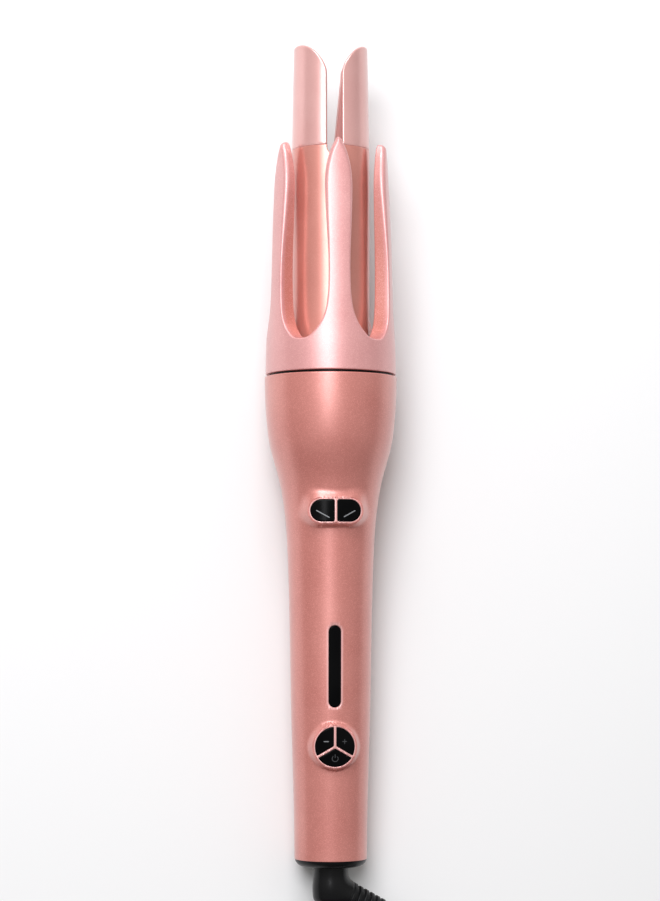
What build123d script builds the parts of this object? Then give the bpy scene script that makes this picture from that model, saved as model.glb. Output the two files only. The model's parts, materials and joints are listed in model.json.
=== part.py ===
from build123d import *
import math
import os

os.makedirs("parts", exist_ok=True)

# ======================================================================
# Driving dimensions, millimetres.  The tool is drawn standing on its own
# axis: station s runs along +Z from the joint between the handle shells and
# the black end cap (s = 0) towards the forked tip.  The keys face -Y and +X
# is the user's right.  REST lays the finished tool on a table at the end.
# ======================================================================

# handle and bulge: (station, outer radius)
BODY = [
    (0.0, 14.9), (25.0, 15.25), (45.0, 15.85), (61.5, 16.3), (86.0, 16.75),
    (104.5, 17.1), (123.0, 17.7), (133.0, 18.2), (142.7, 19.1), (149.0, 20.0),
    (155.8, 21.35), (162.4, 23.2), (168.9, 24.9), (175.5, 26.0), (182.0, 26.65),
    (188.6, 27.05), (198.0, 27.3),
]
WALL = 2.2
RIM_S = 198.0

# rotating claw ring: outer and inner outline, (station, radius)
CLAW_OUT = [(199.0, 26.95), (206.0, 26.85), (213.0, 26.6), (223.0, 26.0), (243.0, 25.4),
            (262.0, 24.75), (272.0, 24.3), (282.0, 23.8), (288.0, 23.45), (294.4, 23.2)]
CLAW_IN_R = 19.2         # inner face of the claws, clear of the barrel
CLAWS = 5
RING_REST = 2.4          # degrees that the ring stands turned to the right at rest
POCKET_R = 25.2          # bore that takes the bush and the ring gear
WEB_S = (208.2, 210.6)   # floor of the ring
WEB_R = 17.2
# half angle of the opening between two claws, whose walls are radial: (degrees, station)
GAP = [(0.0, 212.0), (7.2, 212.5), (12.6, 214.6), (18.8, 218.4), (22.6, 222.7), (25.06, 230.0),
       (25.7, 238.0), (25.2, 248.0), (23.5, 259.0), (22.05, 269.0), (21.5, 276.5), (22.8, 282.2),
       (25.3, 286.3), (27.7, 289.2), (31.0, 291.8), (33.8, 293.8), (39.5, 297.2)]

# heated barrel and forked tip
BARREL_R = 16.0
BARREL_IN = 14.8
BARREL_S = (211.5, 292.0)
TIP_S = 334.6
TIP_R = 15.2
FORK_WALL = 2.0
SLOT_HALF = 3.2
SLOT_S = 288.0
# end of the two prongs, seen from the front: (distance from the slot's middle, station)
PRONG_END = [(2.6, 318.0), (3.25, 322.8), (4.4, 326.0), (5.8, 328.3), (8.4, 331.4), (11.0, 333.4),
             (13.0, 334.4), (16.5, 334.8)]

# rotation keys: raised oval seat and two keys
ROT_S = 142.2
ROT_KEYS = (20.7, 9.1)
ROT_CROWN = 20.8
# temperature and power pad: raised round seat and three keys
PAD_S = 46.6
PAD_KEY_R = 8.1
PAD_CROWN = 17.4
SEAT_CURVE = 34.0        # the seats are crowned on this radius
DIVIDER = 1.0
KEY_GAP = 0.15
KEY_SINK = 0.15
KEY_TRAVEL = 0.6
KEY_FOOT = 11.9          # how far from the axis a key's foot stops
# display window
WIN_S = (62.6, 95.6)
WIN_W = 4.8

# boards
BOARD_Y = (-8.5, -6.9)
BOARD_S = (28.0, 150.0)
BOARD_W = 19.0

# gear train, module 0.8: 58-tooth internal ring, 10-tooth lay pair, 19-tooth motor gear
MODULE = 0.8
RING_T, LAY_T, MOTOR_T = 58, 10, 19
LAY_Y = MODULE * (RING_T - LAY_T) / 2            # 19.2
MOTOR_Y = LAY_Y - MODULE * (LAY_T + MOTOR_T) / 2  # 7.6
SHAFT_R = 1.5
RUN = 0.05               # radial running clearance

# cord end
NECK_R = 7.2
NECK_CORNER = -12.2      # station of the elbow's corner
ELBOW_R = 8.0
LEAD_DOWN = 26.0         # degrees the strain relief leans back from square to the axis
LEAD_DIP = 7.5           # degrees it dips towards the table
RELIEF = (7.0, 38.0)     # from the elbow's corner
RELIEF_R = (6.4, 4.3)
CORD_D = 6.5


# ======================================================================
# Helpers
# ======================================================================
def stations(outline, shrink=0.0):
    return [(r - shrink, s) for s, r in outline]


def gear_outline(teeth, phase, inward=False):
    """Corner points of a simple tooth form, with a little backlash. phase is the angle of one tooth."""
    pitch = MODULE * teeth / 2
    tip = pitch - 0.72 if inward else pitch + 0.72
    root = pitch + 0.95 if inward else pitch - 0.95
    half = math.pi / teeth / 2 * 0.86
    out = []
    for i in range(teeth):
        a = phase + 2 * math.pi * i / teeth
        wide, slim = half * 1.30, half * 0.50
        for rad, ang in ((root, a - wide), (tip, a - slim), (tip, a + slim), (root, a + wide)):
            out.append((rad * math.cos(ang), rad * math.sin(ang)))
    return out


pieces = {}


def keep(part, name):
    part.label = name
    pieces[name] = part


# ======================================================================
# Body blanks: the outer form and the cavity, both bodies of revolution
# ======================================================================
with BuildPart() as body_form:
    with BuildSketch(Plane.XZ):
        with BuildLine():
            Spline(stations(BODY))
            Line((BODY[-1][1], RIM_S), (0, RIM_S))
            Line((0, RIM_S), (0, 0))
            Line((0, 0), (BODY[0][1], 0))
        make_face()
    revolve(axis=Axis.Z)

with BuildPart() as cavity_form:
    with BuildSketch(Plane.XZ):
        with BuildLine():
            Spline(stations(BODY, WALL))
            Line((BODY[-1][1] - WALL, RIM_S), (0, RIM_S))
            Line((0, RIM_S), (0, 0))
            Line((0, 0), (BODY[0][1] - WALL, 0))
        make_face()
    revolve(axis=Axis.Z)

# crowned limits for the tops of the key seats and of the keys
with BuildPart() as rot_crown:
    with BuildSketch(Plane.XY.offset(ROT_S - 20)):
        with Locations((0, SEAT_CURVE - ROT_CROWN)):
            Circle(SEAT_CURVE)
    extrude(amount=40)
with BuildPart() as rot_key_crown:
    with BuildSketch(Plane.XY.offset(ROT_S - 20)):
        with Locations((0, SEAT_CURVE - ROT_CROWN)):
            Circle(SEAT_CURVE - KEY_SINK)
    extrude(amount=40)
with BuildPart() as pad_crown:
    with BuildSketch(Plane.XY.offset(PAD_S - 20)):
        with Locations((0, SEAT_CURVE - PAD_CROWN)):
            Circle(SEAT_CURVE)
    extrude(amount=40)
with BuildPart() as pad_key_crown:
    with BuildSketch(Plane.XY.offset(PAD_S - 20)):
        with Locations((0, SEAT_CURVE - PAD_CROWN)):
            Circle(SEAT_CURVE - KEY_SINK)
    extrude(amount=40)

# raised seats, drafted so that they widen towards the handle
with BuildPart() as rot_seat:
    with BuildSketch(Plane.XZ.offset(22.0)):
        with Locations((0, ROT_S)):
            SlotOverall(ROT_KEYS[0] + 1.2, ROT_KEYS[1] + 1.2)
    extrude(amount=-12.0, taper=-12)
    add(rot_crown.part, mode=Mode.INTERSECT)
with BuildPart() as pad_seat:
    with BuildSketch(Plane.XZ.offset(18.0)):
        with Locations((0, PAD_S)):
            Circle(PAD_KEY_R + 0.7)
    extrude(amount=-9.0, taper=-14)
    add(pad_crown.part, mode=Mode.INTERSECT)


def half_stadium(side, grow):
    """Outline of one rotation key or of its hole, as a sketch in the seat's plane."""
    with BuildSketch(Plane.XZ) as sk:
        with Locations((0, ROT_S)):
            SlotOverall(ROT_KEYS[0] + 2 * grow, ROT_KEYS[1] + 2 * grow)
        inner = DIVIDER / 2 - grow
        with Locations((-side * 20 + side * inner, ROT_S)):
            Rectangle(40, 40, mode=Mode.SUBTRACT)
        corners = sk.vertices().filter_by_position(Axis.X, min(side * inner, side * inner) - 0.01,
                                                   max(side * inner, side * inner) + 0.01)
        fillet(corners, 0.8)
    return sk.sketch


def pad_sector(angle, grow):
    """Outline of one of the three pad keys: a sector between two of the three dividers."""
    with BuildSketch(Plane.XZ) as sk:
        with Locations((0, PAD_S)):
            Circle(PAD_KEY_R + grow)
        reach = 30.0
        for turn in (-60.0, 60.0):
            a = math.radians(angle + turn)
            side = math.copysign(1.0, -turn)
            # everything beyond the divider's near edge is cut away
            n = (-math.sin(a) * side, math.cos(a) * side)
            off = DIVIDER / 2 - grow
            cx = -n[0] * (reach / 2 - off)
            cy = -n[1] * (reach / 2 - off)
            with Locations(Location((cx, PAD_S + cy, 0), (0, 0, 1), angle + turn)):
                Rectangle(reach * 2, reach, mode=Mode.SUBTRACT)
    return sk.sketch


ROT_SIDES = {"left": -1, "right": 1}
PAD_KEYS = {"minus": 150.0, "plus": 30.0, "power": 270.0}
SCREWS = [(0.0, 23.2), (18.5, 185.5), (-18.5, 185.5)]   # x, station of the shell screws

# ======================================================================
# Shells
# ======================================================================
with BuildPart() as front_shell:
    add(body_form.part)
    add(rot_seat.part)
    add(pad_seat.part)
    add(cavity_form.part, mode=Mode.SUBTRACT)
    split(bisect_by=Plane.XZ, keep=Keep.TOP)
    # holes for the keys and the display window
    for side in ROT_SIDES.values():
        add(extrude(half_stadium(side, 0.0), amount=40, mode=Mode.PRIVATE), mode=Mode.SUBTRACT)
    for angle in PAD_KEYS.values():
        add(extrude(pad_sector(angle, 0.0), amount=40, mode=Mode.PRIVATE), mode=Mode.SUBTRACT)
    with BuildSketch(Plane.XZ):
        with Locations(Location((0, sum(WIN_S) / 2, 0), (0, 0, 1), 90)):
            SlotOverall(WIN_S[1] - WIN_S[0], WIN_W)
    extrude(amount=40, mode=Mode.SUBTRACT)

with BuildPart() as front_posts:
    with BuildSketch(Plane.XZ.offset(0.05)):
        with Locations(*SCREWS):
            Circle(3.0)
    extrude(amount=30)
    add(body_form.part, mode=Mode.INTERSECT)
    with BuildSketch(Plane.XZ):
        with Locations(*SCREWS):
            Circle(1.32)
    extrude(amount=9.0, mode=Mode.SUBTRACT)
with BuildPart() as front_done:
    add(front_shell.part)
    add(front_posts.part)
keep(front_done.part, "front_shell")

with BuildPart() as rear_shell:
    add(body_form.part)
    add(cavity_form.part, mode=Mode.SUBTRACT)
    split(bisect_by=Plane.XZ, keep=Keep.BOTTOM)
with BuildPart() as rear_posts:
    with BuildSketch(Plane.XZ.offset(-0.05)):
        with Locations(*SCREWS):
            Circle(4.0)
    extrude(amount=-30)
    add(body_form.part, mode=Mode.INTERSECT)
with BuildPart() as rear_done:
    add(rear_shell.part)
    add(rear_posts.part)
    with BuildSketch(Plane.XZ):
        with Locations(*SCREWS):
            Circle(1.6)
    extrude(amount=-40, mode=Mode.SUBTRACT)
    with BuildSketch(Plane.XZ.offset(-6.0)):
        with Locations(*SCREWS):
            Circle(2.9)
    extrude(amount=-40, mode=Mode.SUBTRACT)
keep(rear_done.part, "rear_shell")

with BuildPart() as shell_screws:
    with BuildSketch(Plane.XZ.offset(-6.0)):
        with Locations(*SCREWS):
            Circle(2.6)
    extrude(amount=-1.8)
    with BuildSketch(Plane.XZ.offset(-6.0)):
        with Locations(*SCREWS):
            Circle(1.28)
    extrude(amount=14.0)
    with BuildSketch(Plane.XZ.offset(-7.8)):
        with Locations(*SCREWS):
            Rectangle(2.8, 0.6)
            Rectangle(0.6, 2.8)
    extrude(amount=0.9, mode=Mode.SUBTRACT)
keep(shell_screws.part, "shell_screws")

# ======================================================================
# Keys, display and boards
# ======================================================================
for name, side in ROT_SIDES.items():
    with BuildPart() as key:
        add(extrude(half_stadium(side, -KEY_GAP), amount=ROT_CROWN + 1, mode=Mode.PRIVATE))
        with BuildSketch(Plane.XZ):
            with Locations((0, ROT_S)):
                Rectangle(60, 60)
        extrude(amount=17.4, mode=Mode.SUBTRACT)
        add(rot_key_crown.part, mode=Mode.INTERSECT)
        with BuildSketch(Plane.XZ.offset(KEY_FOOT)):
            with Locations((side * 5.6, ROT_S)):
                Circle(1.6)
        extrude(amount=17.6 - KEY_FOOT)
    keep(key.part, "key_" + name)

for name, angle in PAD_KEYS.items():
    with BuildPart() as key:
        add(extrude(pad_sector(angle, -KEY_GAP), amount=PAD_CROWN + 1, mode=Mode.PRIVATE))
        with BuildSketch(Plane.XZ):
            with Locations((0, PAD_S)):
                Rectangle(60, 60)
        extrude(amount=14.6, mode=Mode.SUBTRACT)
        add(pad_key_crown.part, mode=Mode.INTERSECT)
        a = math.radians(angle)
        with BuildSketch(Plane.XZ.offset(KEY_FOOT)):
            with Locations((4.6 * math.cos(a), PAD_S + 4.6 * math.sin(a))):
                Circle(1.5)
        extrude(amount=14.8 - KEY_FOOT)
    keep(key.part, "key_" + name)

with BuildPart() as window_limit:
    with BuildSketch(Plane.XZ):
        with BuildLine():
            Spline(stations(BODY[:8], 0.3))
            Line((BODY[7][1] - 0.3, BODY[7][0]), (0, BODY[7][0]))
            Line((0, BODY[7][0]), (0, 0))
            Line((0, 0), (BODY[0][1] - 0.3, 0))
        make_face()
    revolve(axis=Axis.Z)
with BuildPart() as display_window:
    with BuildSketch(Plane.XZ.offset(14.4)):
        with Locations(Location((0, sum(WIN_S) / 2, 0), (0, 0, 1), 90)):
            SlotOverall(WIN_S[1] - WIN_S[0] - 0.1, WIN_W - 0.1)
    extrude(amount=6)
    add(window_limit.part, mode=Mode.INTERSECT)
keep(display_window.part, "display_window")

with BuildPart() as display_module:
    with BuildSketch(Plane.XZ.offset(-BOARD_Y[0])):
        with Locations((0, sum(WIN_S) / 2)):
            RectangleRounded(4.2, 30.0, 0.8)
    extrude(amount=13.8 + BOARD_Y[0])
keep(display_module.part, "display_module")

SWITCHES = [(side * 5.6, ROT_S) for side in ROT_SIDES.values()]
SWITCHES += [(4.6 * math.cos(math.radians(a)), PAD_S + 4.6 * math.sin(math.radians(a))) for a in PAD_KEYS.values()]
with BuildPart() as tact_switches:
    with BuildSketch(Plane.XZ.offset(-BOARD_Y[0])):
        with Locations(*SWITCHES):
            Rectangle(4.4, 4.4)
    extrude(amount=2.0)
    with BuildSketch(Plane.XZ.offset(-BOARD_Y[0] + 2.0)):
        with Locations(*SWITCHES):
            Circle(1.1)
    extrude(amount=0.7)
keep(tact_switches.part, "tact_switches")

with BuildPart() as main_board:
    with BuildSketch(Plane.XZ.offset(-BOARD_Y[1])):
        with Locations((0, sum(BOARD_S) / 2)):
            RectangleRounded(BOARD_W, BOARD_S[1] - BOARD_S[0], 1.5)
    extrude(amount=BOARD_Y[1] - BOARD_Y[0])
keep(main_board.part, "main_board")

with BuildPart() as power_board:
    with BuildSketch(Plane.XZ.offset(-5.0)):
        with Locations((0, 69.0)):
            RectangleRounded(19.0, 78.0, 1.5)
    extrude(amount=-1.6)
keep(power_board.part, "power_board")

with BuildPart() as power_converter:
    with BuildSketch(Plane.XZ.offset(-6.6)):
        with Locations((0, 70.0)):
            RectangleRounded(13.0, 20.0, 1.0)
    extrude(amount=-4.8)
keep(power_converter.part, "power_converter")

with BuildPart() as heater_triac:
    with BuildSketch(Plane.XZ.offset(-6.6)):
        with Locations((0, 93.0)):
            Rectangle(10.0, 9.0)
    extrude(amount=-4.4)
    with BuildSketch(Plane.XZ.offset(-6.6)):
        with Locations((0, 100.0)):
            Rectangle(10.0, 6.0)
    extrude(amount=-1.3)
keep(heater_triac.part, "heater_triac")

with BuildPart() as filter_capacitor:
    with BuildSketch(Plane.XY.offset(36.0)):
        with Locations((0, 0.3)):
            Circle(4.7)
    extrude(amount=20.0)
    fillet(filter_capacitor.edges().filter_by(GeomType.CIRCLE), 0.6)
keep(filter_capacitor.part, "filter_capacitor")

with BuildPart() as buzzer:
    with BuildSketch(Plane.XZ.offset(-5.0)):
        with Locations((0, 92.0)):
            Circle(4.5)
    extrude(amount=3.4)
    with BuildSketch(Plane.XZ.offset(-1.6)):
        with Locations((0, 92.0)):
            Circle(0.8)
    extrude(amount=-1.5, mode=Mode.SUBTRACT)
keep(buzzer.part, "buzzer")

# ======================================================================
# Gear frame, motor and gears
# ======================================================================
PILLARS = [(9.0, -16.4), (-9.0, -16.4), (10.0, 16.2), (-10.0, 16.2)]
FRAME_S = (175.0, 178.0)
NOSE_S = (193.0, 198.0)

with BuildPart() as gear_frame:
    with BuildSketch(Plane.XY.offset(FRAME_S[0])):
        Circle(23.3)
        with Locations((0, LAY_Y)):
            Circle(3.0, mode=Mode.SUBTRACT)
        with Locations((0, MOTOR_Y)):
            Circle(2.2, mode=Mode.SUBTRACT)
        with Locations((0, -8.5)):
            SlotOverall(18.0, 9.0, mode=Mode.SUBTRACT)
    extrude(amount=FRAME_S[1] - FRAME_S[0])
    with BuildSketch(Plane.XY.offset(FRAME_S[1])):
        with Locations(*PILLARS):
            Circle(2.5)
    extrude(amount=NOSE_S[0] - FRAME_S[1])
    with BuildSketch(Plane.XY.offset(NOSE_S[0])):
        with Locations(*PILLARS):
            Circle(1.15)
    extrude(amount=-7.0, mode=Mode.SUBTRACT)
keep(gear_frame.part, "gear_frame")

CARRIER_SCREWS = [(14.2 * math.cos(math.radians(a)), 14.2 * math.sin(math.radians(a))) for a in (-90, 30, 150)]
with BuildPart() as nose_housing:
    with BuildSketch(Plane.XY.offset(NOSE_S[0])):
        Circle(24.95)
        Circle(12.55, mode=Mode.SUBTRACT)
        with Locations((0, LAY_Y)):
            Circle(3.0, mode=Mode.SUBTRACT)
        with Locations(*PILLARS):
            Circle(1.4, mode=Mode.SUBTRACT)
        with Locations(*CARRIER_SCREWS):
            Circle(1.1, mode=Mode.SUBTRACT)
    extrude(amount=NOSE_S[1] - NOSE_S[0])
    with BuildSketch(Plane.XY.offset(NOSE_S[1])):
        Circle(23.2)
        Circle(21.6, mode=Mode.SUBTRACT)
    extrude(amount=5.0)
keep(nose_housing.part, "nose_housing")

with BuildPart() as frame_screws:
    with BuildSketch(Plane.XY.offset(NOSE_S[1])):
        with Locations(*PILLARS):
            Circle(2.2)
    extrude(amount=1.4)
    with BuildSketch(Plane.XY.offset(NOSE_S[1])):
        with Locations(*PILLARS):
            Circle(1.12)
    extrude(amount=-11.0)
keep(frame_screws.part, "frame_screws")

with BuildPart() as dial_bearing:
    with BuildSketch(Plane.XY.offset(198.5)):
        Circle(POCKET_R - 0.1)
        Circle(23.22, mode=Mode.SUBTRACT)
    extrude(amount=4.7)
keep(dial_bearing.part, "dial_bearing")

for name, low, high in (("lay_bush_rear", FRAME_S[0], FRAME_S[1]), ("lay_bush_front", NOSE_S[0], NOSE_S[1])):
    with BuildPart() as bush:
        with BuildSketch(Plane.XY.offset(low)):
            with Locations((0, LAY_Y)):
                Circle(2.98)
                Circle(SHAFT_R + RUN, mode=Mode.SUBTRACT)
        extrude(amount=high - low)
    keep(bush.part, name)

with BuildPart() as motor_can:
    with BuildSketch(Plane.XY.offset(136.0)):
        with Locations((0, MOTOR_Y)):
            Circle(7.7)
    extrude(amount=22.0)
    chamfer(motor_can.edges().filter_by(GeomType.CIRCLE).group_by(Axis.Z)[0], 0.8)
    with BuildSketch(Plane.XY.offset(136.0)):
        with Locations((0, MOTOR_Y)):
            Circle(2.6)
    extrude(amount=-2.0)
keep(motor_can.part, "motor_can")

with BuildPart() as motor_gearbox:
    with BuildSketch(Plane.XY.offset(158.0)):
        with Locations((0, MOTOR_Y)):
            Circle(7.7)
    extrude(amount=16.9)
keep(motor_gearbox.part, "motor_gearbox")

with BuildPart() as motor_shaft:
    with BuildSketch(Plane.XY.offset(175.05)):
        with Locations((0, MOTOR_Y)):
            Circle(SHAFT_R)
    extrude(amount=11.6)
keep(motor_shaft.part, "motor_shaft")

with BuildPart() as motor_gear:
    with BuildSketch(Plane.XY.offset(181.0)):
        # a tooth space faces the lay gear
        with Locations((0, MOTOR_Y)):
            with BuildLine():
                Polyline(*[(x, y + MOTOR_Y) for x, y in
                           gear_outline(MOTOR_T, math.pi / 2 + math.pi / MOTOR_T)], close=True)
        make_face()
        with Locations((0, MOTOR_Y)):
            Circle(SHAFT_R + 0.01, mode=Mode.SUBTRACT)
    extrude(amount=5.0)
keep(motor_gear.part, "motor_gear")

with BuildPart() as lay_shaft:
    with BuildSketch(Plane.XY.offset(172.5)):
        with Locations((0, LAY_Y)):
            Circle(SHAFT_R)
    extrude(amount=35.3)
keep(lay_shaft.part, "lay_shaft")

for name, low, tall in (("lay_gear", 181.0, 5.0), ("lay_pinion", 203.8, 4.0)):
    with BuildPart() as lay:
        with BuildSketch(Plane.XY.offset(low)):
            with BuildLine():
                Polyline(*[(x, y + LAY_Y) for x, y in gear_outline(LAY_T, math.pi / 2)], close=True)
            make_face()
            with Locations((0, LAY_Y)):
                Circle(SHAFT_R + 0.01, mode=Mode.SUBTRACT)
        extrude(amount=tall)
    keep(lay.part, name)

with BuildPart() as ring_gear:
    with BuildSketch(Plane.XY.offset(203.7)):
        Circle(POCKET_R - 0.02)
        with BuildLine():
            Polyline(*gear_outline(RING_T, math.pi / 2 + math.pi / RING_T, inward=True), close=True)
        make_face(mode=Mode.SUBTRACT)
    extrude(amount=4.4)
keep(ring_gear.part, "ring_gear")

# ======================================================================
# Claw ring: a collar with five claws, one moulding that turns as a whole
# ======================================================================


def gap_outline(plane, distance):
    """The opening between two claws, where its radial walls cut a plane at a distance from the axis."""
    # on this plane local x runs round the ring; local y is -Z or +Z, so the outline is placed by corner
    up = 1.0 if plane.y_dir.Z > 0 else -1.0
    half = [(distance * math.tan(math.radians(a)), up * s) for a, s in GAP]
    with BuildSketch(plane.offset(distance)) as outline:
        with BuildLine():
            Spline([(-w, y) for w, y in reversed(half[1:])] + half)
            Line(half[-1], (-half[-1][0], half[-1][1]))
        make_face()
    return outline.sketch


with BuildPart() as claw_ring:
    with BuildSketch(Plane.XZ):
        with BuildLine():
            Spline(stations(CLAW_OUT))
            Polyline((CLAW_OUT[-1][1], CLAW_OUT[-1][0]), (CLAW_IN_R, CLAW_OUT[-1][0]), (CLAW_IN_R, WEB_S[1]),
                     (WEB_R, WEB_S[1]), (WEB_R, WEB_S[0]), (POCKET_R, WEB_S[0]), (POCKET_R, CLAW_OUT[0][0]),
                     (CLAW_OUT[0][1], CLAW_OUT[0][0]))
        make_face()
    revolve(axis=Axis.Z)
    for k in range(CLAWS):
        turn = -90.0 + RING_REST + (k + 0.5) * 360.0 / CLAWS
        radial = Plane((0, 0, 0), x_dir=(-math.sin(math.radians(turn)), math.cos(math.radians(turn)), 0),
                       z_dir=(math.cos(math.radians(turn)), math.sin(math.radians(turn)), 0))
        add(loft([gap_outline(radial, 14.0), gap_outline(radial, 30.0)], ruled=True, mode=Mode.PRIVATE),
            mode=Mode.SUBTRACT)
keep(claw_ring.part, "claw_ring")

# ======================================================================
# Heated barrel, its carrier and its heater, and the forked tip
# ======================================================================
with BuildPart() as barrel_carrier:
    with BuildSketch(Plane.XZ):
        with BuildLine():
            Polyline((10.5, 190.5), (15.6, 190.5), (15.6, 193.0), (12.5, 193.0), (12.5, 210.9), (15.9, 210.9),
                     (15.9, 211.5), (14.76, 211.5), (14.76, 222.0), (12.4, 222.0), (10.5, 219.0), (10.5, 190.5))
        make_face()
    revolve(axis=Axis.Z)
    with BuildSketch(Plane.XY.offset(190.0)):
        with Locations(*CARRIER_SCREWS):
            Circle(1.3)
    extrude(amount=4.0, mode=Mode.SUBTRACT)
keep(barrel_carrier.part, "barrel_carrier")

with BuildPart() as carrier_screws:
    with BuildSketch(Plane.XY.offset(190.5)):
        with Locations(*CARRIER_SCREWS):
            Circle(1.9)
    extrude(amount=-1.3)
    with BuildSketch(Plane.XY.offset(190.5)):
        with Locations(*CARRIER_SCREWS):
            Circle(1.08)
    extrude(amount=6.5)
keep(carrier_screws.part, "carrier_screws")

with BuildPart() as retaining_ring:
    with BuildSketch(Plane.XY.offset(211.2)):
        Circle(18.6)
        Circle(BARREL_R + 0.02, mode=Mode.SUBTRACT)
    extrude(amount=1.8)
keep(retaining_ring.part, "retaining_ring")

with BuildPart() as slot_form:
    with BuildSketch(Plane.XZ.offset(-30)):
        with Locations((0, SLOT_S + SLOT_HALF)):
            Circle(SLOT_HALF)
        with Locations((0, SLOT_S + SLOT_HALF + 40)):
            Rectangle(2 * SLOT_HALF, 80)
    extrude(amount=60)
    # the rear half of the slot flares towards the tip
    with BuildSketch(Plane.XZ.offset(-30)):
        with BuildLine():
            Polyline((-SLOT_HALF, 300), (SLOT_HALF, 300), (SLOT_HALF + 2.6, 326), (SLOT_HALF + 2.6, 350),
                     (-SLOT_HALF - 2.6, 350), (-SLOT_HALF - 2.6, 326), (-SLOT_HALF, 300))
        make_face()
    extrude(amount=30)

with BuildPart() as barrel_tube:
    with BuildSketch(Plane.XY.offset(BARREL_S[0])):
        Circle(BARREL_R)
        Circle(BARREL_IN, mode=Mode.SUBTRACT)
    extrude(amount=BARREL_S[1] - BARREL_S[0])
    add(slot_form.part, mode=Mode.SUBTRACT)
keep(barrel_tube.part, "barrel_tube")

with BuildPart() as fork_tip:
    with BuildSketch(Plane.XZ):
        with BuildLine():
            Polyline((BARREL_R, BARREL_S[1]), (TIP_R, 337.0), (TIP_R - FORK_WALL, 337.0), (12.85, 298.0),
                     (12.85, 284.5), (14.76, 284.5), (14.76, BARREL_S[1]), (BARREL_R, BARREL_S[1]))
        make_face()
    revolve(axis=Axis.Z)
    add(slot_form.part, mode=Mode.SUBTRACT)
    with BuildSketch(Plane.XZ.offset(-30)):
        for side in (1, -1):
            with BuildLine():
                Spline([(side * x, s) for x, s in PRONG_END])
                Polyline((side * PRONG_END[-1][0], PRONG_END[-1][1]), (side * PRONG_END[-1][0], 340),
                         (side * PRONG_END[0][0], 340), (side * PRONG_END[0][0], PRONG_END[0][1]))
            make_face()
    extrude(amount=60, mode=Mode.SUBTRACT)
keep(fork_tip.part, "fork_tip")

HEAT_S = (224.0, 283.0)
for name, side in (("heat_spreader_front", -1), ("heat_spreader_rear", 1)):
    with BuildPart() as spreader:
        with BuildSketch(Plane.XY.offset(HEAT_S[0])):
            Circle(BARREL_IN - 0.05)
            with Locations((0, -side * 20 + side * 1.25)):
                Rectangle(60, 40, mode=Mode.SUBTRACT)
            with Locations((0, side * 8.0)):
                Circle(2.6, mode=Mode.SUBTRACT)
        extrude(amount=HEAT_S[1] - HEAT_S[0])
    keep(spreader.part, name)

with BuildPart() as ptc_heater:
    with BuildSketch(Plane.XY.offset(HEAT_S[0] + 1)):
        Rectangle(16.0, 2.4)
    extrude(amount=HEAT_S[1] - HEAT_S[0] - 2)
keep(ptc_heater.part, "ptc_heater")

with BuildPart() as thermistor:
    with BuildSketch(Plane.XY.offset(246.0)):
        with Locations((11.0, 0)):
            Circle(1.2)
    extrude(amount=5.0)
keep(thermistor.part, "thermistor")

with BuildPart() as thermal_fuse:
    with BuildSketch(Plane.XY.offset(197.0)):
        with Locations((0, 8.8)):
            Circle(1.65)
    extrude(amount=10.0)
keep(thermal_fuse.part, "thermal_fuse")

with BuildPart() as heater_leads:
    with BuildSketch(Plane.XY.offset(146.0)):
        with Locations((4.5, -6.1), (-4.5, -6.1)):
            Circle(0.78)
    extrude(amount=HEAT_S[0] - 146.0)
keep(heater_leads.part, "heater_leads")

# ======================================================================
# End cap and cord swivel
# ======================================================================
with BuildPart() as end_cap:
    with BuildSketch(Plane.XZ):
        with BuildLine():
            Line((NECK_R + 0.08, 0.9), (NECK_R + 0.08, -3.3))
            Line((NECK_R + 0.08, -3.3), (12.3, -3.1))
            ThreePointArc((12.3, -3.1), (14.0, -2.2), (14.75, -0.4))
            Polyline((14.75, -0.4), (14.75, 0), (12.6, 0), (12.6, 3.2), (9.9, 3.2), (9.9, 0.9), (NECK_R + 0.08, 0.9))
        make_face()
    revolve(axis=Axis.Z)
keep(end_cap.part, "end_cap")

with BuildPart() as swivel_socket:
    with BuildSketch(Plane.XY.offset(3.3)):
        Circle(12.35)
        Circle(6.6, mode=Mode.SUBTRACT)
    extrude(amount=13.7)
    with BuildSketch(Plane.XY.offset(17.0)):
        Circle(12.35)
        with Locations((9.5, 0), (-9.5, 0)):
            Circle(1.0, mode=Mode.SUBTRACT)
    extrude(amount=1.4)
keep(swivel_socket.part, "swivel_socket")

with BuildPart() as contact_fingers:
    with BuildSketch(Plane.YZ.offset(5.1)):
        with Locations((0, 7.0), (0, 12.0)):
            Rectangle(2.6, 1.6)
    extrude(amount=1.3)
keep(contact_fingers.part, "contact_fingers")

lead_a, lead_b = math.radians(LEAD_DOWN), math.radians(LEAD_DIP)
LEAD = Vector(math.cos(lead_a) * math.cos(lead_b), math.sin(lead_b), -math.sin(lead_a) * math.cos(lead_b))
CORNER = Vector(0, 0, NECK_CORNER)

with BuildPart() as swivel_stub:
    with BuildSketch(Plane.XZ):
        with BuildLine():
            Polyline((0, -4.0), (NECK_R, -4.0), (NECK_R, 1.1), (9.6, 1.1), (9.6, 2.9), (4.0, 2.9), (4.0, 15.5),
                     (3.2, 16.3), (0, 16.3), (0, -4.0))
        make_face()
    revolve(axis=Axis.Z)
    with BuildLine():
        FilletPolyline((0, 0, -3.9), CORNER, CORNER + LEAD * RELIEF[0], radius=ELBOW_R)
    with BuildSketch(Plane((0, 0, -3.9), x_dir=(1, 0, 0), z_dir=(0, 0, -1))):
        Circle(NECK_R)
    sweep()
keep(swivel_stub.part, "swivel_stub")

with BuildPart() as swivel_rings:
    with BuildSketch(Plane.XY.offset(5.6)):
        Circle(5.0)
        Circle(4.01, mode=Mode.SUBTRACT)
    extrude(amount=2.8)
    with BuildSketch(Plane.XY.offset(10.6)):
        Circle(5.0)
        Circle(4.01, mode=Mode.SUBTRACT)
    extrude(amount=2.8)
keep(swivel_rings.part, "swivel_rings")

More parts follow.
